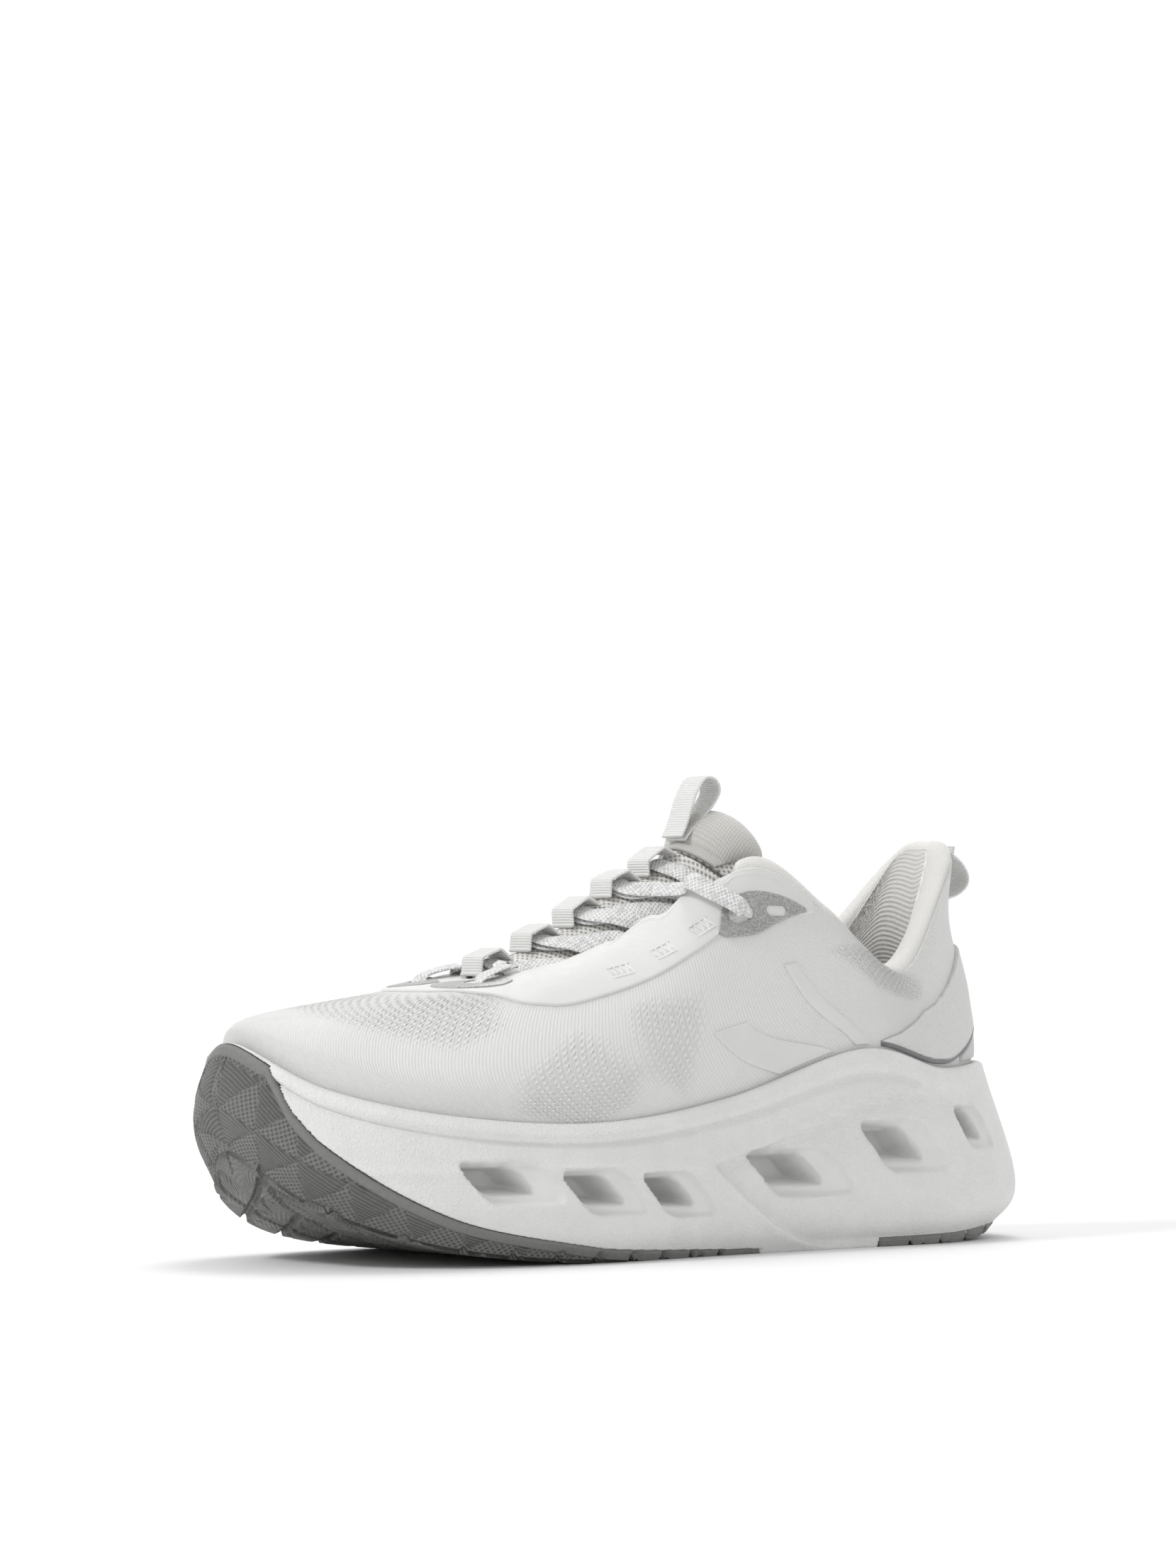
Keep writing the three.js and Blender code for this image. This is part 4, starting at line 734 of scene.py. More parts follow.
PANEL_LENGTH = 17.0
PANEL_HEIGHT = 15.0
SEAM_HALF, SEAM_SOFT = 0.3, 0.7   # half width and soft edge of the seams between panels
PANEL_EASE = 0.9           # run over which a panel sinks from the border


def wall_panels(s, height, border):
    """Sunk panels of upright and inverted triangles in tiers; returns their depth and which are upright."""
    tier = np.floor(height / PANEL_HEIGHT)
    saw = np.abs(np.mod(s / PANEL_LENGTH + 0.5 * tier, 1) * 2 - 1)
    tall = np.mod(height / PANEL_HEIGHT, 1)
    upright = ease((saw - tall) * 8 + 0.5)
    slanted, level = (tall - saw) * 7.5, near_multiple(height, PANEL_HEIGHT)
    seam = np.maximum(groove(slanted, SEAM_HALF, SEAM_SOFT), groove(level, SEAM_HALF, SEAM_SOFT))
    return (0.62 + 0.38 * seam) * ease(border / PANEL_EASE), upright


WALL_ROWS = 52
BOTTOM_BLEND = 6           # height over which the tread's channels fade up the wall


def tread(name, start, end, columns, across):
    """A grid carried over the bottom and up both walls; relief moves its points into the rubber."""
    wall_rows = WALL_ROWS
    c = np.concatenate([np.linspace(0, 1, wall_rows)[:-1], 1 + np.linspace(0, 1, across)[:-1],
                        2 + np.linspace(0, 1, wall_rows)])
    t, c = np.meshgrid(np.linspace(start, end, columns), c, indexing="ij")
    edge = table(RUBBER_EDGE, t)
    climb = np.maximum(1 - c, c - 2)
    rise = edge * np.clip(climb, 0, 1)
    share = np.clip(c - 1, 0, 1)[..., None]

    def at(d):
        return sole_point(t, rise, d) * (1 - share) + sole_point(TURN - t, rise, d) * share

    base = at(0.0)
    on_wall = climb > 0
    s = arc_map(base)[..., 0]
    wall_height = arc_map(base)[..., 1]
    middle = wall_height[:, wall_rows - 1:wall_rows]
    far = wall_height[:, -1:] - wall_height
    from_edge = np.where(c < 1, wall_height, far)
    height = np.where(c < 1, middle - wall_height,
                      (wall_height[:, -1:] - wall_height[:, -wall_rows][:, None]) - far)
    panels, upright = wall_panels(s, height, from_edge - RUBBER_BORDER)
    side = np.where(on_wall, WALL_RELIEF * panels, 0.0)
    end_gap = np.minimum((t - start) if start > 0 else t + 9, (end - t) if end < 8 else t + 9) * 40
    under = TREAD_DEPTH * tread_pattern(base[..., 0], base[..., 1]) * ease((end_gap - 2) / 2)
    under *= 1 - ease(np.clip(climb, 0, 1) * middle / BOTTOM_BLEND)
    relief = np.where(on_wall, np.maximum(side, under), under)
    rim_round = 0.5 * (1 - ease(from_edge / PANEL_EASE)) * on_wall
    thick = lerp(RUBBER, RUBBER_WALL, np.clip(rise / 0.3, 0, 1))
    outer = at(RUBBER_LIFT - relief - rim_round)
    inner = at(-thick)
    flat = np.stack([s, np.where(on_wall, height, base[..., 1])], -1)
    marks = {"panel": np.where(on_wall, ease((from_edge - RUBBER_BORDER) / PANEL_EASE), 0.6),
             "upright": upright}
    return shell(name, outer, inner, GREY_RUBBER, "rubber_grey", "shoe", uv=flat, marks=marks, weld=0.02)


WINDOWS = [
    (77, 25, 27, 13.5, 11), (45, 21.5, 24, 14.5, 11.5), (16, 20, 22, 14.5, 12),
    (-36, 25, 34, 15.5, 13), (-80, 32, 27, 17, 12), (-113, 37, 14, 15, 7),
]                           # centre x and z, length, height, how far the top leans to the toe
WINDOW_RECESS = 4.0        # mean depth of the recess round a hole
WINDOW_DEPTH = 18.0        # and of the hole
WINDOW_CORNER, HOLE_CORNER = 4.2, 3.0
HOLE_LONG, HOLE_HIGH = 0.62, 0.66   # the hole's size as shares of its recess's
HOLE_AHEAD, HOLE_UP = 0.12, 0.8     # and its place: share of the length to the toe, and up


def leaning_box(x, z, long, high, slant, corner):
    """Distance outside a rounded box whose top leans to the toe by slant; negative inside."""
    across = np.abs(x - slant * z / high) - long / 2 + corner
    tall = np.abs(z) - high / 2 + corner
    return (np.hypot(np.maximum(across, 0), np.maximum(tall, 0)) - corner
            + np.minimum(np.maximum(across, tall), 0))


def window_depth(x, z):
    """Two steps: a shallow slanted recess, and a deep hole towards the toe end of it."""
    depth = np.zeros(x.shape)
    hole = np.zeros(x.shape)
    for cx, cz, long, high, slant in WINDOWS:
        outer = leaning_box(x - cx, z - cz, long, high, slant, WINDOW_CORNER)
        inner = leaning_box(x - cx - HOLE_AHEAD * long, z - cz - HOLE_UP, HOLE_LONG * long,
                            HOLE_HIGH * high, HOLE_HIGH * slant, HOLE_CORNER)
        scoop = WINDOW_RECESS * np.clip(0.9 + 1.3 * (x - cx) / long, 0.35, 1.6)
        depth = np.maximum(depth, scoop * ease(-outer / 1.3) + (WINDOW_DEPTH - scoop) * ease(-inner / 2.0))
        hole = np.maximum(hole, ease(-outer / 0.6))
    return depth, hole


WEDGE_TOP = [(-150, 56), (-106, 52.4), (-85, 49.4), (-64.6, 46), (-40, 38), (-20.6, 33), (0, 28), (3, 27)]
WEDGE_FOOT = [(-60, -2), (-38, 3.7), (-24.7, 9.3), (-12, 17.9), (0, 28), (3, 31)]
WEDGE_DEPTH = 3.2          # of the crease at its edges
WEDGE_CREST = 0.8          # height of the ridge beside it
WEDGE_FADE = 9             # run over which it fades inwards


def wedge(x, z):
    """A crease in the shape of a blade, its point at midfoot: sharp at its edges, fading inwards."""
    inside = np.minimum((table(WEDGE_TOP, x) - z) * 0.96, (z - table(WEDGE_FOOT, x)) * 0.75)
    fall = ease(inside / 1.8 + 0.5) * np.exp(-np.maximum(inside, 0) / WEDGE_FADE)
    return WEDGE_DEPTH * fall - WEDGE_CREST * np.exp(-((inside + 1.5) / 1.6) ** 2)


WALL_HEIGHT = 45           # millimetres of wall for the whole of w


def rubber_cover(t, w):
    """1 where rubber lies over the foam."""
    side = fold(t)
    edge = table(RUBBER_EDGE, side) + 0.5 / WALL_HEIGHT
    near = ease((edge - w) * 90)
    ends = ease((side - FOREFOOT_START) * 25 + 0.5) + ease((HEEL_OUTSOLE_END - side) * 25 + 0.5)
    return near * np.clip(ends, 0, 1)


LIP_GROOVE, LIP_BEAD = 0.925, 0.975   # w of the fine groove and bead under the rim


def midsole():
    """Rows run from the bottom's middle line up the wall, over the lip, down the cup, over its floor."""
    columns = 900
    t = np.linspace(0, TURN, columns, endpoint=False)
    bottom, wall, lip, cup, floor = (np.linspace(a, b, n) for a, b, n in (
        (0.5, 0.0, 10), (0, 1, 84), (0, 1, 7), (RIM_V, 0, 5), (0, 0.5, 4)))
    rows = []
    tt = t[:, None] + np.zeros((1, len(bottom) - 1))
    k = bottom[None, :-1, None]
    cover = rubber_cover(tt, 0 * tt)
    d = -(RUBBER + GLUE_LINE) * cover
    rows.append(sole_point(tt, 0.0, d) * (1 - k) + sole_point(TURN - tt, 0.0, d) * k)
    tt, w = np.meshgrid(t, wall, indexing="ij")
    cover = rubber_cover(tt, w)
    plain = sole_point(tt, w)
    depth, hole = window_depth(plain[..., 0] / SCALE, plain[..., 2] / SCALE)
    side = fold(tt)
    sunk = groove((w - LIP_GROOVE) * WALL_HEIGHT, 0.35, 1.5)
    raised = groove((w - LIP_BEAD) * WALL_HEIGHT, 0.8, 1.2)
    lip_line = (1.5 * sunk - 0.5 * raised) * ease((side - 1.9) / 0.6)
    thick = lerp(RUBBER, RUBBER_WALL, np.clip(w / 0.3, 0, 1)) + GLUE_LINE
    body = sole_point(tt, w, -thick * cover - lip_line)
    crease = wedge(plain[..., 0] / SCALE, plain[..., 2] / SCALE) * ease((0.97 - w) / 0.1) * ease(w / 0.15)
    crease *= ease((np.abs(body[..., 1]) - 22) / 12)
    body[..., 1] -= np.sign(body[..., 1]) * (depth + crease) * (1 - cover)
    rows.append(body)
    outer = sole_point(t, 1.0)[:, None]
    inner = upper_point(t, RIM_V, LAYER_GAP * 0.3)[:, None]
    k = lip[None, 1:-1, None]
    bump = np.sin(np.pi * k) ** 0.7 * np.array([0, 0, 1.1])
    rows.append(outer * (1 - k) + inner * k + bump)
    tt, v = np.meshgrid(t, cup, indexing="ij")
    rows.append(upper_point(tt, v, LAYER_GAP * 0.3))
    tt = t[:, None] + np.zeros((1, len(floor) - 1))
    k = floor[None, 1:, None]
    rows.append(upper_point(tt, 0.0) * (1 - k) + upper_point(TURN - tt, 0.0) * k - np.array([0, 0, 0.5]))
    points = np.concatenate(rows, 1)
    smooth = np.zeros(points.shape[:2])
    smooth[:, len(bottom) - 1:len(bottom) - 1 + len(wall)] = hole
    quads = grid_quads(columns, points.shape[1], 0, True)
    return build("midsole_foam", points, quads, FOAM, "foam_white", "shoe", None, {"smooth": smooth},
                 weld=0.02)


def foot_sheet(name, inset, low, high, finish, slot, body, v=0.04):
    """A flat sheet on the cup's floor: rows run from its middle line, over its edge, to the middle below."""
    columns = 200
    t = np.linspace(0, TURN, columns, endpoint=False)
    edge = upper_point(t, v, -inset)
    edge[:, 2] = upper_base(t, np.zeros(t.shape))[:, 2]
    other = edge[-np.arange(columns) % columns]
    k = np.linspace(0.5, 0.02, 24)[None, :, None]
    flat = edge[:, None] * (1 - k) + other[:, None] * k
    turn = np.linspace(0, np.pi, 7)[None, :, None]
    half = (high - low) / 2
    out = unit((edge - other) * np.array([1, 1, 0]))[:, None]
    lift = np.array([0, 0, 1.0]) * (low + half + half * np.cos(turn))
    round_edge = edge[:, None] + out * (half * 0.6 * np.sin(turn)) + lift
    top = flat + np.array([0, 0, high])
    under = flat[:, ::-1] + np.array([0, 0, low])
    grid = np.concatenate([top, round_edge, under], 1)
    return build(name, grid, grid_quads(columns, grid.shape[1], 0, True), finish, slot, body, grid[..., :2],
                 weld=0.02)


# ------------------------------------------------------------------ upper

COLLAR_FRONT = 4.25        # t where the padded collar edge ends, each side
TUCK = 1.25 * ROLL         # the knit tucks up under the padded edge
THROAT_HEM = 3.5           # the knit stops this far below the film's edge
# t of the scallops along the throat and of the points between them
NOTCHES = [6.47, 5.65, 4.98, 4.47]
PEAKS = [6.02, 5.33, 4.69]
NOTCH_DEPTH = 4.2
NOTCH_WIDTH = 0.16
FILM_END = 3.25
FILM_EDGE = [(3.1, 0.9), (3.25, 0.85), (3.66, 0.79), (4.0, 0.8), (4.12, 0.83), (4.35, 0.79), (5, 0.775),
             (5.3, 0.76),
             (5.6, 0.74), (5.94, 0.76), (6.33, 0.81), (7, 0.86), (8, 0.88)]
LAYER_TOP = 0.75           # outer face of a fused layer above the knit
ONLAY_TOP = 1.15           # and of a plate on that layer
LAYER_FOOT = 0.08          # a layer's rim stands this far off the knit
CLOTH_OF_T, CLOTH_OF_V = 43.0, 105.0   # millimetres of cloth for each t and for the whole of v


def knit_top(t):
    """v where the knit ends: tucked under the padded edge, or a hem below the throat's edge."""
    side = fold(t)
    hem = np.where(side <= COLLAR_FRONT, TUCK, lerp(TUCK, THROAT_HEM, ease((side - COLLAR_FRONT) * 2)))
    return below(t, hem)


def soft_table(pairs, x):
    """A table read three times about x and averaged, so that its corners are round."""
    return sum(table(pairs, x + step) for step in (-0.07, 0.0, 0.07)) / 3


BUBBLE_FIELDS = [
    [(5.4, 0.68), (5.1, 0.63), (4.64, 0.5), (4.68, 0.323), (5.06, 0.2), (5.58, 0.3), (5.6, 0.508)],
    [(5.21, 0.69), (4.92, 0.73), (4.32, 0.67), (4.25, 0.578), (4.27, 0.3), (4.4, 0.29), (4.62, 0.42)],
    [(3.22, 0.69), (2.5, 0.86), (1.95, 0.86), (1.75, 0.72), (1.85, 0.62), (2.63, 0.55)],
    [(8.6, 0.66), (6.65, 0.6), (6.1, 0.58), (5.86, 0.68), (6.3, 0.83), (8.6, 0.9)],
]                           # corners as t and v
MM_OF_T, MM_OF_V = 22.0, 70.0   # scale in which a field's distances are measured


def inside_field(t, v, corners):
    """Millimetres inside a field with straight sides; negative outside."""
    corners = np.array(corners) * [MM_OF_T, MM_OF_V]
    away = np.full(np.shape(t), 1e3)
    middle = corners.mean(0)
    for a, b in zip(corners, np.roll(corners, -1, 0)):
        run = (b - a) / np.hypot(*(b - a))
        inward = np.array([-run[1], run[0]])
        inward = inward * np.sign(inward @ (middle - a))
        away = np.minimum(away, (t * MM_OF_T - a[0]) * inward[0] + (v * MM_OF_V - a[1]) * inward[1])
    return away


def bubble_zones(t, v):
    """Where the knit has raised bubbles: the vamp, two slanted fields on the quarter, one behind."""
    return np.clip(sum(ease(inside_field(fold(t), v, c) / 5 + 0.2) for c in BUBBLE_FIELDS), 0, 1)


def upper_knit():
    """Closed round the shoe, from the cup up to its hem under the collar edge and the film."""
    t, k = np.meshgrid(np.linspace(0, TURN, 460, endpoint=False), np.linspace(0, 1, 80), indexing="ij")
    v = k * knit_top(t[:, 0])[:, None]
    outer = upper_point(t, v)
    inner = upper_point(t, v, -MESH)
    uv = np.stack([t * CLOTH_OF_T, v * CLOTH_OF_V], -1)
    return shell("knit_upper", outer, inner, KNIT, "upper_knit", "shoe", True, uv,
                 {"bubble": bubble_zones(t, v)})


def film_top(t):
    """v of the film's upper edge: bell-shaped notches cut down into an even line."""
    side = fold(t)
    notch = sum(np.exp(-((side - n) / NOTCH_WIDTH) ** 2) for n in NOTCHES)
    hem = np.where(side <= COLLAR_FRONT, TUCK, lerp(TUCK, 0.2, ease((side - COLLAR_FRONT) * 3)))
    return below(t, hem + np.where(side > COLLAR_FRONT, NOTCH_DEPTH * notch, 0))


def rounded(k, span, edge=0.7):
    """Height share of a layer: 0 at its two edges, full beyond a rounding as long as edge."""
    near = np.minimum(k, 1 - k) * span
    return np.sqrt(np.clip(1 - (1 - np.clip(near / edge, 0, 1)) ** 2, 0, 1))


def dense_ends(count):
    """Steps from 0 to 1, closer together at both ends."""
    return 0.5 - 0.5 * np.cos(np.pi * np.linspace(0, 1, count))


def layer(name, t, low, high, rows, top, finish, slot, foot=LAYER_FOOT, marks=None, relief=None):
    """A thin layer on the upper between two edges low(t) and high(t), its own edges rounded."""
    tt, k = np.meshgrid(t, dense_ends(rows), indexing="ij")
    lo, hi = low(t)[:, None], high(t)[:, None]
    v = lerp(lo, hi, k)
    span = length(upper_base(t, high(t)) - upper_base(t, low(t)))
    ends = rounded((np.arange(len(t)) / (len(t) - 1))[:, None], len(t) * 0.9, 0.9)
    full = foot + (top - foot) * rounded(k, span) * ends
    if relief is not None:
        full = full + relief(tt, v, k * span)
    outer = upper_point(tt, v, full)
    inner = upper_point(tt, v, foot - 0.05)
    values = {key: fill(tt, v, k * span) for key, fill in (marks or {}).items()}
    return shell(name, outer, inner, finish, slot, "shoe", marks=values)


PIPING_RISE = 0.28
PIPING_AWAY = 2.4          # from the scalloped edge to the ridge


def throat_film():
    """A fused layer from its soft outer edge up to the scalloped throat."""
    t = np.linspace(FILM_END, TURN - FILM_END, 620)

    def piping(tt, v, up):
        """A low ridge that follows the scalloped inner edge."""
        span = length(upper_base(t, film_top(t)) - upper_base(t, soft_table(FILM_EDGE, fold(t))))
        return PIPING_RISE * groove(span - up - PIPING_AWAY, 0.25, 0.6)

    return layer("throat_film", t, lambda x: soft_table(FILM_EDGE, fold(x)), film_top, 44,
                 LAYER_TOP, FILM_WHITE, "film_white", relief=piping)


TACKS = [(5.26, 0.83), (4.87, 0.845), (4.5, 0.848)]
TACK_LONG = 7.5
TACK_WIDE = 4.2
TACK_TURNS = 3.5           # zigzags along a tack
PROBE = 3.0                # height at which the way out of the surface is read
RUN_STEP = 0.03            # and t on each side, for the way along it


def bar_tack(name, t, v, side):
    """Zigzag stitching through the film, between two straight rows."""
    at, height = np.array(t if side > 0 else TURN - t), np.array(v)
    centre = upper_point(at, height, 0.0)
    up = unit(upper_point(at, height, PROBE) - centre)
    run = unit(upper_base(at + RUN_STEP, height) - upper_base(at - RUN_STEP, height))
    across = np.cross(up, run)
    k = np.linspace(0, 1, 120)
    zigzag = np.stack([(k - 0.5) * TACK_LONG,
                       TACK_WIDE / 2 * (2 * np.abs(np.mod(k * TACK_TURNS, 1) * 2 - 1) - 1)], 1)
    border = [np.stack([(k[::s] - 0.5) * TACK_LONG, np.full(120, s * TACK_WIDE / 2)], 1) for s in (1, -1)]
    path = np.concatenate([border[0], zigzag, border[1]])
    lift = LAYER_TOP + 0.05 + 0.08 * np.cos(np.arange(len(path)) * 0.55)
    line = centre + run * path[:, :1] + across * path[:, 1:] + up * lift[:, None]
    return tube(name, bead(line, np.broadcast_to(up, line.shape), 0.26, 0.2, 8), PALE_THREAD, "film_white",
                "shoe")


STRAP_TOP = [(0, 0.69), (1, 0.64), (2, 0.55), (2.5, 0.36), (2.75, LIP_V + 0.02)]
STRAP_FOOT = [(0, 0.46), (1, 0.37), (1.75, LIP_V), (3, LIP_V)]


STRAP_END, STRAP_RISE = 2.75, 1.3
TRIM_WIDTH = 1.7           # dark band along the strap's foot
CUP_END, CUP_RISE = 1.5, 0.9


def heel_strap():
    """A layer between two drawn edges, both lowest where they meet the lip."""
    t = np.linspace(-STRAP_END, STRAP_END, 300)
    return layer("heel_strap", t, lambda x: soft_table(STRAP_FOOT, fold(x)),
                 lambda x: table(STRAP_TOP, fold(x)),
                 40, STRAP_RISE, STRAP_KNIT, "strap_knit",
                 marks={"trim": lambda tt, v, up: ease((TRIM_WIDTH - up) / 0.3)})


def heel_cup():
    """A layer from the lip up to just under the strap's foot."""
    t = np.linspace(-CUP_END, CUP_END, 120)
    return layer("heel_cup", t, lambda x: LIP_V + 0 * x, lambda x: soft_table(STRAP_FOOT, fold(x)) - 0.004,
                 24,
                 CUP_RISE, CUP_FILM, "cup_film")


PLATE_LOW = [(3.35, 0.84), (3.9, 0.76), (4.3, 0.78)]
PLATE_HIGH = [(3.35, 0.86), (3.6, 0.87), (4.3, 0.89)]
# slots: t, v and width
TOP_SLOT = (4.1, 0.825, 5.6)
SPARE_SLOT = (3.72, 0.822, 3.4)
FRONT_SLOT = (7.06, 0.915, 7.0)
SLOT_LENGTH = 9.5
SPARE_LENGTH = 8.0
PLATE_MIDDLE, PLATE_HALF = 3.84, 0.49   # t of a top plate's middle, and its half length
CRESCENT_MIDDLE = 7.15
CRESCENT_HALF = 0.7


def on_side(t, side):
    """t as it is on the lateral side, or mirrored and reversed on the medial one."""
    return t if side > 0 else (TURN - t)[::-1]


def slot_cutter(side, place, long=SLOT_LENGTH):
    """A rounded slot's block, its length along the throat, sunk through the layers."""
    at, v, wide = place
    t = np.array(at if side > 0 else TURN - at)
    centre = upper_point(t, np.array(v), 0.0)
    up = unit(upper_point(t, np.array(v), PROBE) - centre)
    run = unit(upper_base(t + RUN_STEP, np.array(v)) - upper_base(t - RUN_STEP, np.array(v)))
    across = np.cross(up, run)
    a = np.linspace(0, 2 * np.pi, 40, endpoint=False)
    half = wide / 2
    outline = (run * (np.cos(a) * half + np.sign(np.cos(a)) * (long / 2 - half))[:, None]
               + across * (np.sin(a) * half)[:, None])
    rings = centre + outline[None] + up * np.array([0.3, 6.0])[:, None, None]
    return tube("slot_cutter", rings, FOAM, "foam_white", "shoe")


def carve(obj, cutters):
    """Cuts each cutter's shape out of a piece and deletes the cutters."""
    for cutter in cutters:
        step = obj.modifiers.new("cut", "BOOLEAN")
        step.operation, step.solver, step.object = "DIFFERENCE", "EXACT", cutter
    graph = bpy.context.evaluated_depsgraph_get()
    cut = bpy.data.meshes.new_from_object(obj.evaluated_get(graph), depsgraph=graph)
    obj.modifiers.clear()
    obj.data = cut
    for cutter in cutters:
        bpy.data.objects.remove(cutter)
    return obj


def eyelet_plate(name, side):
    """A plate between two drawn edges, closed to a blunt leaf at its ends, with two slots."""
    t = on_side(np.linspace(3.36, 4.32, 90), side)
    middle = lambda x: (soft_table(PLATE_LOW, fold(x)) + soft_table(PLATE_HIGH, fold(x))) / 2
    half = lambda x: ((soft_table(PLATE_HIGH, fold(x)) - soft_table(PLATE_LOW, fold(x))) / 2
                      + 0.004) * np.clip(
        1 - np.abs((fold(x) - PLATE_MIDDLE) / PLATE_HALF) ** 5, 0, 1) ** 0.45 + 0.002
    plate = layer(name, t, lambda x: middle(x) - half(x), lambda x: middle(x) + half(x), 40,
                  ONLAY_TOP, REFLECTIVE, "reflective", foot=LAYER_TOP - 0.05)
    return carve(plate, [slot_cutter(side, TOP_SLOT), slot_cutter(side, SPARE_SLOT, SPARE_LENGTH)])


def vamp_crescent(name, side):
    """A half-ellipse in t about a slanted middle line, with one slot."""
    t = on_side(np.linspace(CRESCENT_MIDDLE - CRESCENT_HALF, CRESCENT_MIDDLE + CRESCENT_HALF, 110), side)
    centre = lambda x: lerp(0.87, 0.94, (fold(x) - CRESCENT_MIDDLE + CRESCENT_HALF) / (2 * CRESCENT_HALF))
    width = lambda x: 0.004 + 0.03 * np.sqrt(np.clip(1 - ((fold(x) - CRESCENT_MIDDLE) / CRESCENT_HALF) ** 2,
                                                     0, 1))
    crescent = layer(name, t, lambda x: centre(x) - width(x), lambda x: centre(x) + width(x), 36,
                     ONLAY_TOP, REFLECTIVE, "reflective", foot=LAYER_TOP - 0.05)
    return carve(crescent, [slot_cutter(side, FRONT_SLOT)])


# bands: t of both corners and v, at the foot and at the head
BAND_FRONT = ((3.2, 3.62, LIP_V), (3.95, 4.22, 0.54))
BAND_REAR = ((2.88, 3.02, LIP_V), (3.5, 3.62, 0.66))


def saddle_band(name, side, foot, head):
    """A plain slanted band from the lip up the quarter, its edges rounded."""
    k, a = np.meshgrid(np.linspace(0, 1, 120), dense_ends(26), indexing="ij")
    t = lerp(lerp(foot[0], foot[1], a), lerp(head[0], head[1], a), k)
    t = t if side > 0 else TURN - t
    v = lerp(foot[2], head[2], k)
    wide = length(upper_base(t[:, 0], v[:, 0]) - upper_base(t[:, -1], v[:, -1]))
    ends = rounded(k, 50.0, 1.0)
    outer = upper_point(t, v, LAYER_FOOT + (LAYER_TOP - LAYER_FOOT) * rounded(a, wide) * ends)
    return shell(name, outer, upper_point(t, v, 0.03), FILM_WHITE, "film_white", "shoe")


def pad_depth(t, v):
    """Thickness of the collar's foam: full at the heel, thinner in front, nothing low down."""
    front = lerp(1, 0.3, ease((fold(t) - 2.6) / 1.6))
    return COLLAR_PAD * front * ease((v - 0.4) / 0.3)


def inner_depth(t, v):
    """How far in the lining lies: past the stiffener or the foam, whichever is thicker."""
    return MESH + 2 * LAYER_GAP + np.maximum(COUNTER + 0.4, pad_depth(t, v))


LINING_SWING = 9.0         # the lining's ribs dip this much round the heel


def collar_lining():
    """The sock lining: it hugs the stiffener below and swells over the collar's foam above."""
    t, k = np.meshgrid(np.linspace(-COLLAR_FRONT, COLLAR_FRONT, 300), np.linspace(0, 1, 90), indexing="ij")
    top = below(t[:, 0], ROLL)[:, None]
    v = lerp(0.08, top, k)
    d = inner_depth(t, v)
    face = upper_point(t, v, -d - LINING)
    back = upper_point(t, v, -d)
    uv = np.stack([t * CLOTH_OF_T, v * CLOTH_OF_V + LINING_SWING * np.cos(t * 0.75)], -1)
    return shell("collar_lining", face, back, LINING_KNIT, "lining_knit", "shoe", uv=uv)


def collar_roll():
    """A padded edge: an oval section, a little crowned, carried round the ankle opening."""
    t = np.linspace(-COLLAR_FRONT, COLLAR_FRONT, 420)
    one = np.ones(t.shape)
    top = upper_base(t, one)
    drop = unit(upper_base(t, 0.9 * one) - top)
    inward = unit(upper_point(t, one, -1.0) - upper_point(t, one, 0.0))
    depth = inner_depth(t, one) + LINING
    wide = np.minimum(ROLL + 0.2, depth / 2 + 0.25)
    taper = np.sqrt(np.clip(1 - (1 - np.clip((COLLAR_FRONT - np.abs(t)) / 0.07, 0, 1)) ** 2, 0.02, 1))
    centre = top + inward * (depth / 2)[:, None] + drop * ROLL
    a = np.linspace(0, 2 * np.pi, 44, endpoint=False)
    across = np.sign(np.cos(a)) * np.abs(np.cos(a)) ** 0.85
    tall = np.sin(a)
    rings = (centre[:, None] + inward[:, None] * (wide * taper)[:, None, None] * across[None, :, None]
             + drop[:, None] * (ROLL * taper)[:, None, None] * tall[None, :, None])
    return tube("collar_roll", rings, COLLAR_CLOTH, "lining_knit", "shoe")


def heel_stiffener():
    """An even sheet that follows the knit's inner face round the heel."""
    t, v = np.meshgrid(np.linspace(-2.5, 2.5, 80), np.linspace(0.03, 0.47, 24), indexing="ij")
    d = MESH + LAYER_GAP
    return shell("heel_stiffener", upper_point(t, v, -d), upper_point(t, v, -d - COUNTER), STIFFENER,
                 "stiffener", "shoe")


# ------------------------------------------------------------------ tongue

FLAP_EDGE = 0.66           # p of the tongue's end row that the flap grows from
FLAP_BEND = 9.0            # how far the flap's end and sides curl down
FLAP_SIDES = 5.0
FLAP_WAY = np.array([-0.9, 0, 0.42]) / math.hypot(0.9, 0.42)
FLAP_SPREAD = 0.45         # share by which the flap widens along its length
PAD_FRONT = 0.12           # k of the pad's sewn front edge
PAD_RIM = 1.2              # its height there
PAD_SIDES = 0.86           # p where it ends


def tongue_sheet(name, reach, depth, thick, finish, slot):
    """A sheet of even thickness that lies a depth above or below the tongue's face."""
    q, p = np.meshgrid(np.linspace(0, 0.985, 200), np.linspace(-reach, reach, 90), indexing="ij")
    uv = arc_map(tongue_point(q, p, depth))
    uv[..., 1] -= uv[:, 45:46, 1]
    return shell(name, tongue_point(q, p, depth), tongue_point(q, p, depth - thick), finish, slot, "shoe",
                 uv=uv)


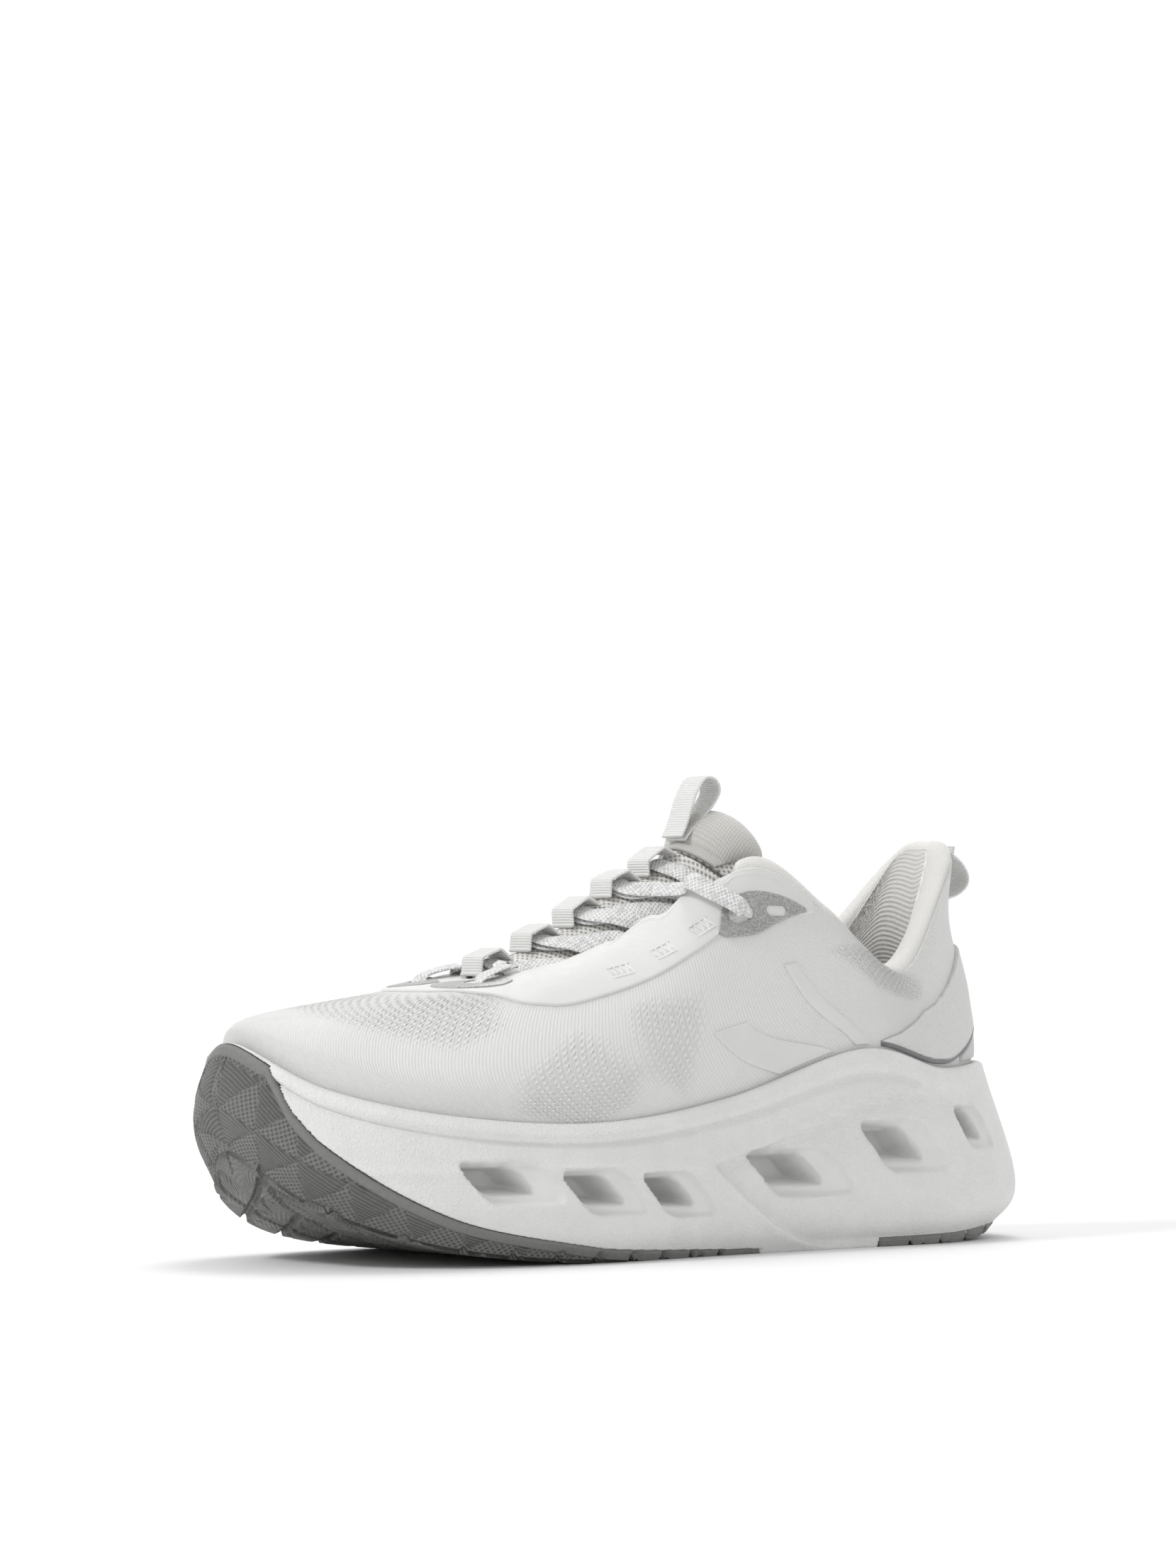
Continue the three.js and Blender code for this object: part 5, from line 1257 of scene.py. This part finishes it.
def flap_point(k, p, h):
    """The free flap grows from the tongue's end row, back and up, wider as it goes."""
    start = tongue_point(np.ones(np.shape(p)), p * FLAP_EDGE, 0.0)
    rounding = 1 - 0.45 * ease((k - 0.5) / 0.6)
    grown = start * np.stack([np.ones(k.shape), (1 + FLAP_SPREAD * k) * rounding, np.ones(k.shape)], -1)
    grown = grown + FLAP_WAY * (k * PAD_LENGTH)[..., None]
    grown[..., 2] -= (FLAP_BEND * k * k + FLAP_SIDES * p * p) * k
    lean = unit(np.stack([np.full(p.shape, 0.15), 1.1 * p, np.ones(p.shape)], -1))
    return grown + lean * h[..., None]


def pad_rise(k, p):
    """Height of the pad: a full crown behind its sewn front edge, round at the sides and the end."""
    crown = np.sqrt(np.clip(1 - np.abs(p) ** 3, 0, 1)) * np.sqrt(np.clip(3.9 * (k - PAD_FRONT) * (1.02 - k),
                                                                         0, 1))
    return PAD_RIM + (PAD_HEIGHT - PAD_RIM) * crown


def tongue_pad():
    """A crowned pad: full inside, low at its rim, with a soft rounded edge all round."""
    k, p = np.meshgrid(dense_ends(110),
                       np.sin(np.linspace(-np.pi / 2, np.pi / 2, 90)), indexing="ij")
    end = np.sqrt(np.clip(1 - np.clip((k - 0.6) / 0.42, 0, 1) ** 2.5, 0, 1))
    top = flap_point(k, PAD_SIDES * p * (0.3 + 0.7 * end), pad_rise(k, p))
    under = flap_point(k, PAD_SIDES * p * (0.3 + 0.7 * end), np.zeros(k.shape))
    edge = 0.5 * (1 - rounded((p + 1) / 2, 40.0, 1.2))
    top[..., 2] -= edge
    uv = arc_map(under)
    return shell("tongue_pad", top, under, PAD_CLOTH, "pad_knit", "tongue_flap", uv=uv, weld=0.02)


def flap_lining():
    """The flap's underside: a thin sheet, rounded off towards its end."""
    k, p = np.meshgrid(np.linspace(0.02, 1.06, 80), np.linspace(-1.12, 1.12, 90), indexing="ij")
    narrow = np.sqrt(np.clip(1 - np.clip((k - 0.62) / 0.48, 0, 1) ** 3, 0, 1))
    p = p * (0.35 + 0.65 * narrow)
    one = np.ones(k.shape)
    return shell("flap_mesh", flap_point(k, p, -0.1 * one), flap_point(k, p, -1.3 * one), OPEN_MESH,
                 "lining_knit", "tongue_flap")


# ------------------------------------------------------------------ webbing

KEEPERS = [0.12, 0.39, 0.6, 0.76, 0.9]   # q of each keeper
SIDEWAYS = np.array([0, 1.0, 0])


def tongue_frame(q):
    """A point on the tongue's middle line, with the ways ahead and up there."""
    near = tongue_point(np.array([q - 0.02, q, q + 0.02]), np.zeros(3), 0.0)
    ahead = unit(near[2] - near[0])
    return near[1], ahead, -np.cross(ahead, SIDEWAYS)


def strip(name, line, normals, width, thick, place, finish, slot, body):
    """Tape of even thickness along a flat outline; place(a, b, y) sets points in space."""
    y = np.linspace(-1, 1, 25)
    yy = np.sign(y) * (1 - (1 - np.abs(y)) ** 1.25) * width / 2
    selvedge = 1 - 0.35 * ease((np.abs(yy) - width / 2 + 0.9) / 0.9)
    faces = []
    for sign in (1, -1):
        a = line[:, None, 0] + sign * normals[:, None, 0] * thick / 2 * selvedge[None]
        b = line[:, None, 1] + sign * normals[:, None, 1] * thick / 2 * selvedge[None]
        faces.append(place(a, b, yy[None] + 0 * a))
    return shell(name, faces[0], faces[1], finish, slot, body)


def outline_normals(line):
    """A quarter turn from each point's direction of travel."""
    run = np.gradient(line, axis=0)
    run = run / np.maximum(np.hypot(run[:, 0], run[:, 1])[:, None], 1e-9)
    return np.stack([-run[:, 1], run[:, 0]], 1)


def resample(line, count):
    """The same line with evenly spaced points."""
    gone = np.concatenate([[0], np.cumsum(np.hypot(*np.diff(line, axis=0).T))])
    at = np.linspace(0, gone[-1], count)
    return np.stack([np.interp(at, gone, line[:, i]) for i in range(line.shape[1])], 1)


def keeper(i):
    """Webbing over the laces: feet on the tongue, steep shoulders, a slightly crowned top."""
    q = KEEPERS[i]
    centre, ahead, up = tongue_frame(q)
    away = tongue_point(np.array([q - 0.07, q + 0.07]), np.zeros(2), 0.0) - centre
    drop = max(0.0, *(away @ up))
    half = KEEPER_LENGTH / 2
    x = np.linspace(-half, half, 90)
    rise = ease((half - np.abs(x) - 0.5) / 2.9) ** 0.8
    z = SEAT + WEBBING / 2 + drop + (KEEPER_HEIGHT - SEAT - drop) * rise + 0.35 * (1 - (x / half) ** 2)
    line = resample(np.stack([x, z], 1), 110)
    place = lambda a, b, y: centre + ahead * a[..., None] + up * b[..., None] + SIDEWAYS * y[..., None]
    return strip(f"lace_keeper_{i + 1}", line, outline_normals(line), KEEPER_WIDTH, WEBBING, place, TAPE,
                 "webbing", "shoe")


TAB_EYE, TAB_NECK = 3.9, 0.9   # radius of the folded eye, half the gap at the sewn end
TAB_ALONG = np.array([-0.56, 0, 0.83]) / math.hypot(0.56, 0.83)
TAB_OUT = np.array([0.83, 0, 0.56]) / math.hypot(0.83, 0.56)


def tab_base():
    """Where the pull tab is sewn: on the pad, near its front edge."""
    k, p = np.array([0.05]), np.array([0.0])
    return flap_point(k, p, np.array([PAD_RIM + SEAT + 1.6]))[0]


def tab_place(a, b, y):
    """Lays the tab's outline along its two directions, and its width sideways."""
    return tab_base() + TAB_ALONG * a[..., None] + TAB_OUT * b[..., None] + SIDEWAYS * y[..., None]


def pull_tab():
    """A folded strip: up one ply, round a teardrop eye, and down the other."""
    turn, neck = TAB_EYE, TAB_NECK
    k = np.linspace(0, 1, 60)
    up = np.stack([k * (PULL_LENGTH - turn), neck + (turn - neck) * ease(k * 1.1)], 1)
    a = np.linspace(np.pi / 2, -np.pi / 2, 40)[1:-1]
    eye = np.stack([PULL_LENGTH - turn + turn * np.cos(a), turn * np.sin(a)], 1)
    line = resample(np.concatenate([up, eye, up[::-1] * [1, -1]]), 220)
    return strip("pull_tab", line, outline_normals(line), PULL_WIDTH, WEBBING, tab_place, TAPE, "webbing",
                 "pull_tab")


LOOP_FOOT = 3.0            # sewn length at each end of the finger loop
LOOP_V = (0.83, 0.965)     # v of its two ends


def heel_loop():
    """A finger loop sewn flat at both ends and bowed away from the heel between them."""
    low, high = upper_point(np.zeros(2), np.array(LOOP_V), SEAT + WEBBING)
    rise = unit(high - low)
    out = np.array([-rise[2], 0, rise[0]])
    span = float(np.linalg.norm(high - low))
    k = np.linspace(0, 1, 120)
    bow = np.stack([k * span, HEEL_LOOP_REACH * np.sin(np.pi * k) ** 0.7], 1)
    line = resample(np.concatenate([[[-LOOP_FOOT, 0.0]], bow, [[span + LOOP_FOOT, 0.0]]]), 200)
    place = lambda a, b, y: low + rise * a[..., None] + out * b[..., None] + SIDEWAYS * y[..., None]
    return strip("heel_loop", line, outline_normals(line), HEEL_LOOP_WIDTH, WEBBING, place, TAPE, "webbing",
                 "shoe")


# ------------------------------------------------------------------ lace

LOW = 1.15                 # the two strands cross in a keeper at these heights
HIGH = 2.7
HIDDEN = -(MESH + LACE_ROOM + LACE / 2)
EDGE_DEPTH = HIDDEN + 0.5  # just inside the upper's edge


def q_at(t):
    """The tongue's q that lies beside t."""
    return (THROAT_FRONT - t) / (THROAT_FRONT - THROAT_TOP)


def mirrored(points, side):
    """The same stretch of lace on the other side of the shoe."""
    if side > 0:
        return points
    flip = {"tongue": lambda a, b: (a, -b), "upper": lambda a, b: (TURN - a, b)}
    return [(s, *flip[s](a, b), *rest) for s, a, b, *rest in points]


def lace_start(side):
    """From under the film, out through the front slot, and over the edge to the tongue."""
    return mirrored([
        ("upper", 7.6, 0.928, HIDDEN), ("upper", 7.32, 0.918, HIDDEN), ("upper", 7.12, 0.912, -0.9),
        ("upper", 7.04, 0.92, 2.2), ("upper", 7.06, 0.95, 3.2), ("upper", 7.22, 0.98, 3.4),
        ("tongue", 0.1, 0.62, 7.4), ("tongue", 0.11, 0.45, 4.8)], side)


def lace_crossing(i, side, h):
    """Straight across the tongue through keeper i, at height h."""
    q = KEEPERS[i]
    _, _, left, right, _ = tongue_section(np.array(q))
    clear = 2 * THROAT_EDGE * (KEEPER_WIDTH / 2 + 0.6) / float(length(left - right)[0])
    return [("tongue", q, side * p, h) for p in (clear, 0, -clear)]


def lace_turn(i, side, start, end):
    """Under the film from one notch to the next: down at the notch, back up at the peak."""
    notch, peak = NOTCHES[i], PEAKS[i]
    tight = 0.62
    return mirrored([
        ("tongue", lerp(KEEPERS[i], q_at(notch), 0.5), 0.47, start),
        ("tongue", q_at(notch) - 0.01, 0.65, 1.7),
        ("upper", notch - 0.16, 0.97, EDGE_DEPTH, 0.7), ("upper", notch - 0.3, 0.945, HIDDEN, tight),
        ("upper", lerp(notch, peak, 0.5) - 0.3, 0.932, HIDDEN, tight),
        ("upper", peak - 0.26, 0.945, HIDDEN, tight), ("upper", peak - 0.16, 0.97, EDGE_DEPTH, 0.7),
        ("tongue", q_at(peak), 0.65, 1.7), ("tongue", lerp(q_at(peak), KEEPERS[i + 1], 0.5), 0.47, end)],
                    side)


def lace_top(side, start):
    """From the last keeper over the edge, and in through the top plate's slot."""
    return mirrored([
        ("tongue", 0.8, 0.42, start + 1.5), ("tongue", 0.84, 0.6, 7.4), ("upper", 4.66, 0.985, 4.6),
        ("upper", 4.45, 0.925, 3.9), ("upper", 4.22, 0.86, 4), ("upper", 4.12, 0.832, 3),
        ("upper", 4.1, 0.823, -0.5), ("upper", 4.1, 0.82, -4.5)], side)


def tucked_lateral():
    """The hidden end that comes up inside, passes under the last keeper and goes down again."""
    rise = mirrored([
        ("upper", 4.1, 0.828, -7.6, 0.8), ("upper", 4.14, 0.86, -9, 0.8), ("upper", 4.2, 0.92, -9, 0.8),
        ("tongue", 0.93, 0.74, 1.6, 0.9), ("tongue", 0.91, 0.45, 1.9)], 1)
    down = mirrored([
        ("tongue", 0.91, 0.45, 1.9), ("tongue", 0.93, 0.74, 1.6, 0.9),
        ("upper", 4.42, 0.93, -7.6, 0.8), ("upper", 4.45, 0.87, -8, 0.7)], -1)
    return [*rise, *lace_crossing(4, 1, 1.6), *down]


def tucked_medial():
    """The hidden end that simply hangs down inside."""
    return mirrored([
        ("upper", 4.1, 0.82, -7.6, 0.9), ("upper", 4.06, 0.77, -9.6, 0.8), ("upper", 4, 0.7, -10.2, 0.7)],
                    -1)


def lace_half(side):
    """From the front bar to one end; the strand crosses high and low by turns."""
    heights = [HIGH, LOW, HIGH, LOW] if side > 0 else [LOW, HIGH, LOW, HIGH]
    here = side
    route = lace_start(side)
    for i in range(4):
        route += lace_crossing(i, here, heights[i])
        here = -here
        if i < 3:
            route += lace_turn(i, here, heights[i], heights[i + 1])
    return route + lace_top(here, heights[3]) + (tucked_lateral() if here > 0 else tucked_medial())


def lace_line():
    """Points, up directions and widths along the whole lace, at even steps of the listed route."""
    route = [(*r, 1.0)[:5] for r in
             [*lace_half(1)[::-1], *mirrored([("upper", 8, 0.932, HIDDEN)], 1), *lace_half(-1)]]
    on_tongue = np.array([r[0] == "tongue" for r in route])
    a, b, h, wide = np.array([r[1:] for r in route], float).T

    def point(lift):
        on_top = tongue_point(np.where(on_tongue, a, 0.5), np.where(on_tongue, b, 0.0), h + lift)
        on_upper = upper_point(np.where(on_tongue, 4.0, a), np.where(on_tongue, 0.5, b), h + lift)
        return np.where(on_tongue[:, None], on_top, on_upper)

    stations = np.linspace(0, 1, 9 * (len(route) - 1) + 1)
    spread = lambda values: on_row([np.broadcast_to(v, (len(stations), 3)) for v in values], stations)
    centres = spread(point(0.0))
    ahead = frames_along(centres)
    normal = unit(spread(unit(point(1.0) - point(0.0))))
    sure = (1 - np.sum(normal * ahead, 1) ** 2)[:, None] ** 2
    window = np.hanning(15)[1:-1]
    gather = lambda values: np.stack([np.convolve(values[:, i], window,
                                                  "same") for i in range(values.shape[1])], 1)
    up = gather(normal * sure) / np.maximum(gather(sure), 1e-6)
    up = unit(up - ahead * np.sum(up * ahead, 1)[:, None])
    widths = spread([np.full(3, w) for w in wide])[:, 0]
    return centres, ahead, up, widths


def lace():
    """A flat braid: a lens-shaped section, fuller in the middle, carried along the route."""
    centres, ahead, up, widths = lace_line()
    side = np.cross(up, ahead)
    a = np.linspace(0, 2 * np.pi, 28, endpoint=False)
    across = np.sign(np.cos(a)) * np.abs(np.cos(a)) ** 0.8 * LACE_WIDTH / 2
    tall = np.sign(np.sin(a)) * np.abs(np.sin(a)) ** 0.75 * (LACE / 2 + 0.05)
    rings = (centres[:, None] + side[:, None] * across[None, :, None] * widths[:, None, None]
             + up[:, None] * tall[None, :, None])
    run = np.concatenate([[0], np.cumsum(length(np.diff(centres, axis=0))[:, 0])])
    run = np.concatenate([[run[0]], run, [run[-1]]])
    uv = np.stack(np.broadcast_arrays(run[:, None], across[None, :]), -1)
    return tube("lace", rings, BRAID, "lace", "shoe", uv=uv)


AGLET_START, AGLET_END = 0.3, 18.3
AGLET_RADIUS = 1.7


def aglet(name, end):
    """A sleeve with rounded ends, in line with the lace's last direction."""
    centres, ahead, up, _ = lace_line()
    point, way = (centres[-1], ahead[-1]) if end else (centres[0], -ahead[0])
    k = np.linspace(AGLET_START, AGLET_END, 40)
    from_tip = np.clip(np.minimum(k - AGLET_START, AGLET_END - k) / 0.8, 0, 1)
    swell = AGLET_RADIUS * np.sqrt(np.clip(1 - (1 - from_tip) ** 2, 0.05, 1))
    line = point + way * k[:, None]
    rings = bead(line, np.broadcast_to(up[-1 if end else 0], line.shape), swell, swell * 0.9, 24)
    return tube(name, rings, SLEEVE, "aglet", "shoe")


# ------------------------------------------------------------------ all the pieces

def stands_for(piece, *nodes):
    """Puts a piece in the place of the CAD nodes it shows, and hands it back."""
    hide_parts(*nodes)
    return piece


stands_for(tread("outsole_forefoot_rubber", FOREFOOT_START, 8.0, 260, 80), "outsole_forefoot")
stands_for(tread("outsole_heel_rubber", 0.0, HEEL_OUTSOLE_END, 90, 74), "outsole_heel")
stands_for(midsole(), "midsole")
stands_for(upper_knit(), "upper_mesh")
stands_for(throat_film(), "throat_film")
stands_for(heel_strap(), "heel_strap")
stands_for(heel_cup(), "heel_cup")
for half, side in (("lateral", 1), ("medial", -1)):
    stands_for(eyelet_plate(f"top_plate_{half}", side), f"eyelet_plate_{half}")
    stands_for(vamp_crescent(f"front_plate_{half}", side), f"vamp_crescent_{half}")
    stands_for(saddle_band(f"saddle_band_front_of_{half}", side, *BAND_FRONT), f"saddle_band_front_{half}")
    stands_for(saddle_band(f"saddle_band_rear_of_{half}", side, *BAND_REAR), f"saddle_band_rear_{half}")
    for number, (t, v) in enumerate(TACKS, 1):
        bar_tack(f"bar_tack_{number}_{half}", t, v, side)
lining = stands_for(collar_lining(), "collar_lining", "collar_foam")
roll = stands_for(collar_roll(), "collar_roll")
stands_for(heel_stiffener(), "heel_stiffener")
stands_for(tongue_sheet("tongue_open_mesh", 1.0, 0.0, TONGUE, OPEN_MESH, "open_mesh"), "tongue_mesh")
stands_for(tongue_sheet("tongue_sock_lining", 0.8, -TONGUE - 0.3, 0.8, LINING_KNIT, "lining_knit"),
           "tongue_lining")
pad = stands_for(tongue_pad(), "tongue_pad")
stands_for(flap_lining(), "flap_lining")
for i in range(len(KEEPERS)):
    node = f"lace_keeper_{i + 1}"
    made = keeper(i)
    made.name = f"webbing_keeper_{i + 1}"
    stands_for(made, node)
tab = pull_tab()
tab.name = "pull_tab_webbing"
stands_for(tab, "pull_tab")
loop = heel_loop()
loop.name = "heel_loop_webbing"
stands_for(loop, "heel_loop")
cord = lace()
cord.name = "flat_lace"
stands_for(cord, "lace")
stands_for(aglet("lace_tip_medial", False), "aglet_medial")
stands_for(aglet("lace_tip_lateral", True), "aglet_lateral")
stands_for(foot_sheet("strobel_sheet", MESH + LAYER_GAP + 0.5, 0.0, 1.4, BOARD, "board", "shoe", 0.0),
           "strobel_board")
stands_for(foot_sheet("insole_foam_sheet", INSOLE_INSET, 1.7, 5.7, FOAM, "insole_foam", "insole"),
           "insole_foam")
stands_for(foot_sheet("insole_cover_sheet", INSOLE_INSET, 6.0, INSOLE_TOP, INSOLE_CLOTH, "insole_knit",
                      "insole"), "insole_cover")

# the CAD nodes that stay in view keep their shape and get a finish of their own
for name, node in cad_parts.items():
    if not node.hide_render:
        finish = TAPE if name.startswith("lace_loop") else STIFFENER
        for slot in node.material_slots:
            slot.link = "OBJECT"
            slot.material = finish

# ------------------------------------------------------------------ floor, light, camera

FLOOR_HALF = 6000
GLOW_RUN = (700, 2200)     # distance from the shoe over which the floor starts to glow
GLOW = 0.32


def studio_floor():
    """A wide pale floor that glows a little far from the shoe, as a lit sweep does."""
    f = Finish("studio_floor", 0.65, Specular_IOR_Level=0.2)
    f.colour(f.blend(f.spread(f.noise(300, 2), 0.3, 0.7), (0.87, 0.87, 0.87), (0.89, 0.89, 0.89)))
    away = f.node("ShaderNodeVectorMath", {0: f.place()}, operation="LENGTH").outputs["Value"]
    f.surface.inputs["Emission Color"].default_value = (1, 1, 1, 1)
    f.tree.links.new(f.spread(away, *GLOW_RUN, 0.0, GLOW), f.surface.inputs["Emission Strength"])
    corners = np.array([(-1, -1, 0), (1, -1, 0), (1, 1, 0), (-1, 1, 0)], float) * FLOOR_HALF
    mesh = bpy.data.meshes.new("studio_floor")
    mesh.from_pydata(corners * MM, [], [(0, 1, 2, 3)])
    mesh.materials.append(f.material)
    floor = bpy.data.objects.new("studio_floor", mesh)
    bpy.context.scene.collection.objects.link(floor)


def soft_light(name, place, size, power, target=(0, 0, 0.06)):
    """A round lamp in metres and watts, turned to the shoe."""
    data = bpy.data.lights.new(name, "AREA")
    data.shape, data.size, data.energy = "DISK", size, power
    lamp = bpy.data.objects.new(name, data)
    lamp.location = place
    lamp.rotation_euler = (Vector(target) - Vector(place)).to_track_quat("-Z", "Y").to_euler()
    bpy.context.scene.collection.objects.link(lamp)


AHEAD = (-0.59, -0.81, 0.0)   # away from the camera: the bright side of the studio
BRIGHT, DIM = 1.0, 0.62
GRADE_FROM, GRADE_TO = -0.3, 0.7   # how far a direction agrees with AHEAD where DIM ends and BRIGHT begins


def studio():
    """A white sweep behind the shoe, a dimmer room in front of it, and three soft lamps."""
    world = bpy.data.worlds.new("studio")
    world.use_nodes = True
    tree = world.node_tree
    way = tree.nodes.new("ShaderNodeTexCoord")
    toward = tree.nodes.new("ShaderNodeVectorMath")
    toward.operation = "DOT_PRODUCT"
    toward.inputs[1].default_value = AHEAD
    grade = tree.nodes.new("ShaderNodeMapRange")
    for socket, value in (("From Min", GRADE_FROM), ("From Max", GRADE_TO),
                          ("To Min", DIM), ("To Max", BRIGHT)):
        grade.inputs[socket].default_value = value
    tree.links.new(way.outputs["Generated"], toward.inputs[0])
    tree.links.new(toward.outputs["Value"], grade.inputs["Value"])
    tree.links.new(grade.outputs[0], tree.nodes["Background"].inputs[1])
    tree.nodes["Background"].inputs[0].default_value = (1, 1, 1, 1)
    bpy.context.scene.world = world
    soft_light("key", (1.5, -0.1, 1.5), 0.5, 15)
    soft_light("fill", (0.3, 1.7, 0.7), 1.2, 1.5)
    soft_light("top", (-0.5, -0.5, 1.7), 0.7, 9)
    bpy.context.scene.view_settings.view_transform = "Standard"


ASPECT = 1659 / 2212       # the frame's width over its height
AZIMUTH, ELEVATION = 144.0, 1.4
DISTANCE = 1.4
FOCAL = 2.809675           # focal length as a share of the frame's height
SENSOR = 36.0
TARGET = np.array([0.0, 0.0, 0.060])
AIM = (0.531887, 0.675407)   # where the target stands, as shares of the frame from its top left


def camera():
    """Stands at its azimuth and elevation, and is turned until the target stands at AIM."""
    a, e = math.radians(AZIMUTH), math.radians(ELEVATION)
    back = np.array([math.sin(a) * math.cos(e), -math.cos(a) * math.cos(e), math.sin(e)])
    place = TARGET + back * DISTANCE
    yaw, pitch = math.atan2(-back[1], -back[0]), -e
    for _ in range(30):
        ahead = np.array([math.cos(yaw) * math.cos(pitch), math.sin(yaw) * math.cos(pitch),
                          math.sin(pitch)])
        right = unit(np.cross(ahead, [0, 0, 1.0]))
        up = np.cross(right, ahead)
        away = TARGET - place
        deep = away @ ahead
        yaw += (AIM[0] - 0.5) * ASPECT / FOCAL - (away @ right) / deep
        pitch += (AIM[1] - 0.5) / FOCAL + (away @ up) / deep
    data = bpy.data.cameras.new("camera")
    data.sensor_fit = "VERTICAL"
    data.sensor_height = SENSOR
    data.lens = FOCAL * SENSOR
    data.clip_end = 50
    view = bpy.data.objects.new("camera", data)
    bpy.context.scene.collection.objects.link(view)
    turn = Matrix([[right[i], up[i], -ahead[i]] for i in range(3)]).to_4x4()
    view.matrix_world = Matrix.Translation(Vector(place)) @ turn
    bpy.context.scene.camera = view


studio_floor()
studio()
camera()

bpy.context.view_layer.update()
